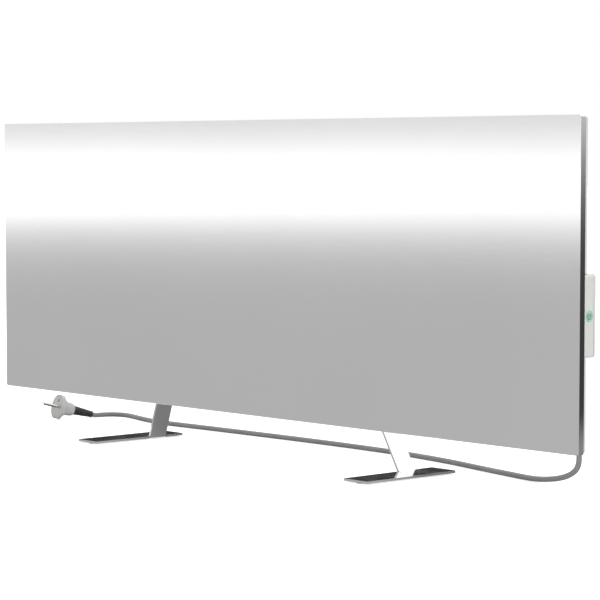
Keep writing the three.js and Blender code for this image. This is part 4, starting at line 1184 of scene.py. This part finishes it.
# The side of a field as [inset, rise], and of a seat as [radius, drop].
FIELD_SIDE = [(-1.0, 0.0), (-0.35, 0.05), (0.25, 0.2), (0.9, 0.48), (2.1, 1.02), (2.75, 1.3), (3.35, 1.45)]
FIELD_SIDE += [(4.0, 1.5)]
SEAT_SIDE = [(7.3, 0.0), (6.85, 0.1), (6.5, 0.45), (4.05, 4.75), (3.75, 5.05), (3.4, 5.1), (1.6, 5.1)]
NOTCH_GAP = 0.3 * MM


def oblong(bm, place, width, height, corner, inset, segments=6):
    """A rounded ring, in millimetres, drawn in by an inset."""
    size = (width - 2 * inset) * MM, (height - 2 * inset) * MM
    return rounded_ring(bm, *size, (corner - inset) * MM, Vector(place) * MM, segments)


def cover_rim(bm, low, high, flat, fold):
    """The upright rim of the sheet, folded over; returns the edges where the flat back starts."""
    side = [(0.0, low.y)]
    side += [(fold - inset, y) for inset, y in arc((0.0, flat - fold), fold, 0.0, 90.0, 5)]
    width, height, middle = high.x - low.x, high.z - low.z, (low.z + high.z) / 2
    rings = [oblong(bm, (0.0, y, middle), width, height, COVER_CORNER, inset, 4) for inset, y in side]
    skin(bm, rings)
    return rings[-1]


def press_fields(bm, flat, middle):
    """The raised fields; returns the edges where they leave the flat back."""
    foot = []
    for x, width in COVER_FIELDS:
        rings = []
        for inset, rise in FIELD_SIDE:
            rings.append(oblong(bm, (x, flat + rise, middle), width, FIELD_HEIGHT, FIELD_CORNER, inset))
        skin(bm, rings)
        closed_by(bm, rings[-1])
        foot += rings[0]
    return foot


def sink_seats(bm, flat):
    """The conical screw seats and the foot screws' holes; returns their edges in the flat back."""
    brink = []
    for node in COVER_SCREWS:
        screw = solid_box(node)[2]
        rings = [round_ring(bm, r * MM, (screw.x, (flat - drop) * MM, screw.z)) for r, drop in SEAT_SIDE]
        skin(bm, rings)
        brink += rings[0]
    for node in FOOT_SCREWS:
        screw = solid_box(node)[2]
        brink += round_ring(bm, FOOT_HOLE_RADIUS * MM, (screw.x, flat * MM, screw.z), 20)
    return brink


class HEATER_OT_cover(bpy.types.Operator):
    """Press the rear cover, with its fields and screw seats"""

    bl_idname = "heater.cover"
    bl_label = "Rear cover"

    def execute(self, context):
        settings = context.scene.heater_panel
        low, high, middle = (point / MM for point in solid_box("rear_cover"))
        flat = high.y - FIELD_SIDE[-1][1]
        bm = bmesh.new()
        edges = list(cover_rim(bm, low, high, flat, settings.press_radius / MM))
        edges += press_fields(bm, flat, middle.z)
        edges += sink_seats(bm, flat)
        bmesh.ops.triangle_fill(bm, use_beauty=True, edges=edges, normal=Y_AXIS)
        bmesh.ops.recalc_face_normals(bm, faces=bm.faces)
        box_low, box_high, _ = solid_box("box_base")
        gap = Vector((NOTCH_GAP, 0.0, NOTCH_GAP))
        notch_low = Vector((box_low.x, 0.0, box_low.z)) - gap
        cut_away(bm, notch_low, box_high + gap + X_AXIS * 5.0 * MM)
        coat, sheet = powder_coat(settings), settings.cover_sheet
        finish_piece("back_cover", bm, coat, ["rear_cover"], sharp=50.0, sheet=sheet)
        return {"FINISHED"}


# ------------------------------------------------------------------ feet

def pad_mesh(node):
    """A rubber pad with a rounded edge and a hollow sole."""
    low, high, middle = solid_box(node)
    radius, thickness = (high.x - low.x) / 2 / MM, (high.z - low.z) / MM
    profile = [
        (0.0, 0.25),
        (radius * 0.55, 0.25),
        (radius * 0.62, 0.0),
        (radius - 0.7, 0.0),
        (radius - 0.2, 0.2),
        (radius, 0.7),
        (radius, thickness),
        (0.0, thickness),
    ]
    return turned(profile, 36, Z_AXIS, (middle.x, middle.y, 0))


class HEATER_OT_feet(bpy.types.Operator):
    """Bend the two feet from polished sheet and set them on their pads"""

    bl_idname = "heater.feet"
    bl_label = "Feet"

    def execute(self, context):
        settings = context.scene.heater_feet
        steel = polished_steel(settings)
        for side in ("right", "left"):
            bm = refined_copy("foot_" + side, settings.edge_radius)
            finish_piece("foot_sheet_" + side, bm, steel, ["foot_" + side])
        rubber = moulded("pad_rubber", (0.03, 0.03, 0.03), 0.8)
        for side in ("left", "right"):
            for end in ("front", "back"):
                node = f"pad_{side}_{end}"
                finish_piece(f"foot_pad_{side}_{end}", pad_mesh(node), rubber, [node])
        return {"FINISHED"}


# ------------------------------------------------------------------ control box and button

# Round openings in the box, as [radius, depth] in millimetres.
BUTTON_RECESS = [(6.62, 0.0), (6.46, 0.1), (6.4, 0.3), (6.4, 1.45), (4.8, 1.5), (4.75, 3.4)]
SCREW_WELL = [(3.3, 0.0), (3.08, 0.1), (3.0, 0.3), (3.0, 1.95), (2.0, 2.0), (1.55, 2.3)]
BOX_SEAM, LID_GAP = 0.25 * MM, 0.2 * MM
GLAND_SLOT = 4.35 * MM


def half_shell(node, corner, profile):
    """One half of the box: rings of its rounded outline along Y, closed by the last one."""
    low, high, middle = solid_box(node)
    bm = bmesh.new()
    rings = []
    for inset, y in profile:
        width, height = high.x - low.x - 2 * inset, high.z - low.z - 2 * inset
        radius = max(corner - inset, 0.3 * MM)
        rings.append(rounded_ring(bm, width, height, radius, Vector((middle.x, y, middle.z)), 8))
    skin(bm, rings)
    closed_by(bm, rings[-1])
    bmesh.ops.recalc_face_normals(bm, faces=bm.faces)
    return bm


def open_well(bm, centre, normal, half, rings, cuts=6):
    """A round stepped opening in a flat face, given as [radius, depth] in millimetres."""
    face = cell_face(bm, centre, normal, half * MM)
    press_round(bm, face, centre, normal, [(r * MM, d * MM) for r, d in rings], cuts)
    bmesh.ops.delete(bm, geom=[face], context="FACES_ONLY")


def base_mesh(settings):
    """The base, with the button's recess in its end and a slot for the strain relief."""
    low, high, _ = solid_box("box_base")
    edge = settings.edge
    front = [(edge - inset, y) for inset, y in arc((0.0, low.y + edge), edge, 0.0, -90.0, 4)]
    bm = half_shell("box_base", settings.corner, [(BOX_SEAM, high.y), (0.0, high.y - BOX_SEAM)] + front)
    bezel = solid_box("switch_housing")[2]
    open_well(bm, Vector((high.x, bezel.y, bezel.z)), X_AXIS, 6.76, BUTTON_RECESS, cuts=12)
    gland = solid_box("cord_gland")[2]
    slot_low = (gland.x - GLAND_SLOT, gland.y - GLAND_SLOT, low.z - MM)
    cut_away(bm, slot_low, (gland.x + GLAND_SLOT, high.y + MM, low.z + MM), -Z_AXIS)
    return bm


def lid_mesh(settings):
    """The lid, with a well for each of its two screws."""
    high = solid_box("box_lid")[1]
    start = solid_box("box_base")[1].y + LID_GAP
    edge = settings.edge
    back = [(edge - inset, y) for inset, y in arc((0.0, high.y - edge), edge, 0.0, 90.0, 5)]
    bm = half_shell("box_lid", settings.corner, [(BOX_SEAM, start), (0.0, start + BOX_SEAM)] + back)
    for node in LID_SCREWS:
        screw = solid_box(node)[2]
        open_well(bm, Vector((screw.x, high.y, screw.z)), Y_AXIS, 4.2, SCREW_WELL)
    return bm


class HEATER_OT_box(bpy.types.Operator):
    """Mould the control box's base and lid"""

    bl_idname = "heater.box"
    bl_label = "Control box"

    def execute(self, context):
        settings = context.scene.heater_box
        plastic = moulded("box_plastic", settings.plastic_colour, 0.46, 1100.0, 0.02 * MM, (0.97, 1.02))
        for name, piece, node in (
            ("box_shell", base_mesh(settings), "box_base"),
            ("box_cover", lid_mesh(settings), "box_lid"),
        ):
            finish_piece(name, piece, plastic, [node], sharp=50.0, sheet=settings.wall)
        return {"FINISHED"}


def bezel_profile(start, face):
    """The switch's housing: the ring's groove and the cap's bore open in its face."""
    return [
        (0.0, start),
        (4.6, start),
        (4.6, face - 1.4),
        (6.0, face - 1.4),
        (6.3, face - 1.15),
        (6.3, face - 0.4),
        (6.15, face - 0.1),
        (5.95, face),
        (5.78, face - 0.05),
        (5.75, face - 0.85),
        (4.22, face - 0.85),
        (4.2, face - 0.1),
        (4.1, face),
        (4.03, face - 0.1),
        (4.0, face - 9.2),
        (0.0, face - 9.2),
    ]


def ring_profile(start, face):
    """The lit ring's lens, slightly crowned."""
    return [
        (4.3, start),
        (5.7, start),
        (5.7, face - 0.25),
        (5.45, face - 0.02),
        (5.0, face),
        (4.55, face - 0.02),
        (4.3, face - 0.25),
        (4.3, start),
    ]


def cap_profile(stem, face):
    """The button's cap, dished for a fingertip, on its stem."""
    return [
        (0.0, stem),
        (1.8, stem),
        (1.8, face - 7.0),
        (3.5, face - 7.0),
        (3.7, face - 6.8),
        (3.7, face - 0.5),
        (3.55, face - 0.12),
        (3.2, face),
        (2.4, face - 0.08),
        (1.2, face - 0.2),
        (0.0, face - 0.24),
    ]


class HEATER_OT_button(bpy.types.Operator):
    """Turn the push-button, its bezel and its lit ring"""

    bl_idname = "heater.button"
    bl_label = "Push-button"

    def execute(self, context):
        settings = context.scene.heater_box
        centre = solid_box("switch_housing")[2]
        cap = button_metal(settings, centre)
        for name, node, profile, material, slot, body in (
            ("button_bezel", "switch_housing", bezel_profile, plated_steel(), "plated_steel", HEATER),
            ("button_ring", "ring_light", ring_profile, lit_ring(settings), "ring_lens", HEATER),
            ("button_cap", "power_button", cap_profile, cap, "button_cap", BUTTON),
        ):
            low, high, _ = solid_box(node)
            points = profile(low.x / MM, high.x / MM)
            piece = turned(points, 48, X_AXIS, (0, centre.y, centre.z))
            finish_piece(name, piece, material, [node], body=body)
        return {"FINISHED"}


# ------------------------------------------------------------------ screws

# A domed head's height, and the room it is given, as shares of its radius.
DOME_RISE, DOME_ROOM = 0.6, 0.62


def add_screw(bm, seat, radius, head, drop):
    """Adds a domed head with a round socket, on a short shank, pointing along Y."""
    rise = head * DOME_RISE
    profile = [
        (0.0, -drop),
        (radius, -drop),
        (radius, 0.0),
        (head - 0.1, 0.0),
        (head, 0.12),
        (head * 0.97, rise * 0.35),
        (head * 0.86, rise * 0.72),
        (head * 0.66, rise * 0.94),
        (head * 0.52, rise),
        (head * 0.46, rise * 0.9),
        (head * 0.46, rise * 0.3),
        (0.0, rise * 0.25),
    ]
    part = turned(profile, 24, Y_AXIS, seat)
    mesh = bpy.data.meshes.new("screw_part")
    part.to_mesh(mesh)
    part.free()
    bm.from_mesh(mesh)
    bpy.data.meshes.remove(mesh)


class HEATER_OT_screws(bpy.types.Operator):
    """Set the screws of the cover, the feet and the box lid"""

    bl_idname = "heater.screws"
    bl_label = "Screws"

    def execute(self, context):
        steel = plated_steel()
        for name, nodes, radius, head in (
            ("cover_screw_heads", COVER_SCREWS, 1.45, 3.2),
            ("lid_screw_heads", LID_SCREWS, 1.4, 2.7),
            ("foot_screw_heads", FOOT_SCREWS, 2.5, 4.8),
        ):
            bm = bmesh.new()
            for node in nodes:
                low, high, middle = solid_box(node)
                seat_y = high.y - head * DOME_ROOM * MM
                drop = (seat_y - low.y) / MM
                add_screw(bm, (middle.x, seat_y, middle.z), radius, head, drop)
            finish_piece(name, bm, steel, nodes, sharp=50.0)
        return {"FINISHED"}


class HEATER_OT_inside(bpy.types.Operator):
    """Give the inner pieces their finishes"""

    bl_idname = "heater.inside"
    bl_label = "Inner pieces"

    def execute(self, context):
        plates = ["backing_plate_left", "backing_plate_right"]
        finishes = [
            (printed_film(), ["heating_film"]),
            (bright_foil(), ["reflector_foil"]),
            (fibre_board(), ["insulation_board"]),
            (glazed_ceramic(), ["terminal_block", "thermal_cutout_left", "thermal_cutout_right"]),
            (moulded("live_sleeve", (0.11, 0.055, 0.025), 0.5), ["lead_live", "lead_link", "core_live"]),
            (moulded("neutral_sleeve", (0.05, 0.12, 0.28), 0.5), ["lead_neutral", "core_neutral"]),
            (moulded("earth_sleeve", (0.24, 0.42, 0.07), 0.5), ["core_earth"]),
            (moulded("clamp_plastic", (0.04, 0.04, 0.042), 0.5), ["cord_clamp"]),
            (plated_steel(), [*plates, "switch_nut", "clamp_screw_1", "clamp_screw_2"]),
        ]
        for material, nodes in finishes:
            for node in nodes:
                dress_node(node, material)
        return {"FINISHED"}


class HEATER_PT_panel(bpy.types.Panel):
    """The heater's pieces and their sizes"""

    bl_idname = "HEATER_PT_panel"
    bl_label = "Panel heater"
    bl_space_type = "VIEW_3D"
    bl_region_type = "UI"
    bl_category = "Heater"

    def draw(self, context):
        layout = self.layout
        for attribute in SETTINGS:
            group = getattr(context.scene, attribute)
            box = layout.box()
            for key in group.__annotations__:
                box.prop(group, key)
        for operator in OPERATORS:
            layout.operator(operator.bl_idname)


SETTINGS = {
    "heater_panel": HeaterPanelSettings,
    "heater_feet": HeaterFeetSettings,
    "heater_box": HeaterBoxSettings,
    "heater_lead": HeaterLeadSettings,
    "heater_stage": HeaterStageSettings,
}
OPERATORS = [
    HEATER_OT_camera,
    HEATER_OT_lead,
    HEATER_OT_plug,
    HEATER_OT_gland,
    HEATER_OT_tray,
    HEATER_OT_cover,
    HEATER_OT_feet,
    HEATER_OT_box,
    HEATER_OT_button,
    HEATER_OT_screws,
    HEATER_OT_inside,
    HEATER_OT_stage,
]


def register():
    for group in SETTINGS.values():
        bpy.utils.register_class(group)
    for attribute, group in SETTINGS.items():
        setattr(bpy.types.Scene, attribute, PointerProperty(type=group))
    for operator in OPERATORS:
        bpy.utils.register_class(operator)
    bpy.utils.register_class(HEATER_PT_panel)


def unregister():
    bpy.utils.unregister_class(HEATER_PT_panel)
    for operator in reversed(OPERATORS):
        bpy.utils.unregister_class(operator)
    for attribute, group in SETTINGS.items():
        delattr(bpy.types.Scene, attribute)
        bpy.utils.unregister_class(group)


def main():
    register()
    bpy.ops.heater.camera()
    bpy.ops.heater.lead()
    bpy.ops.heater.plug()
    bpy.ops.heater.gland()
    bpy.ops.heater.tray()
    bpy.ops.heater.cover()
    bpy.ops.heater.feet()
    bpy.ops.heater.box()
    bpy.ops.heater.button()
    bpy.ops.heater.screws()
    bpy.ops.heater.inside()
    bpy.ops.heater.stage()


if __name__ == "__main__":
    main()
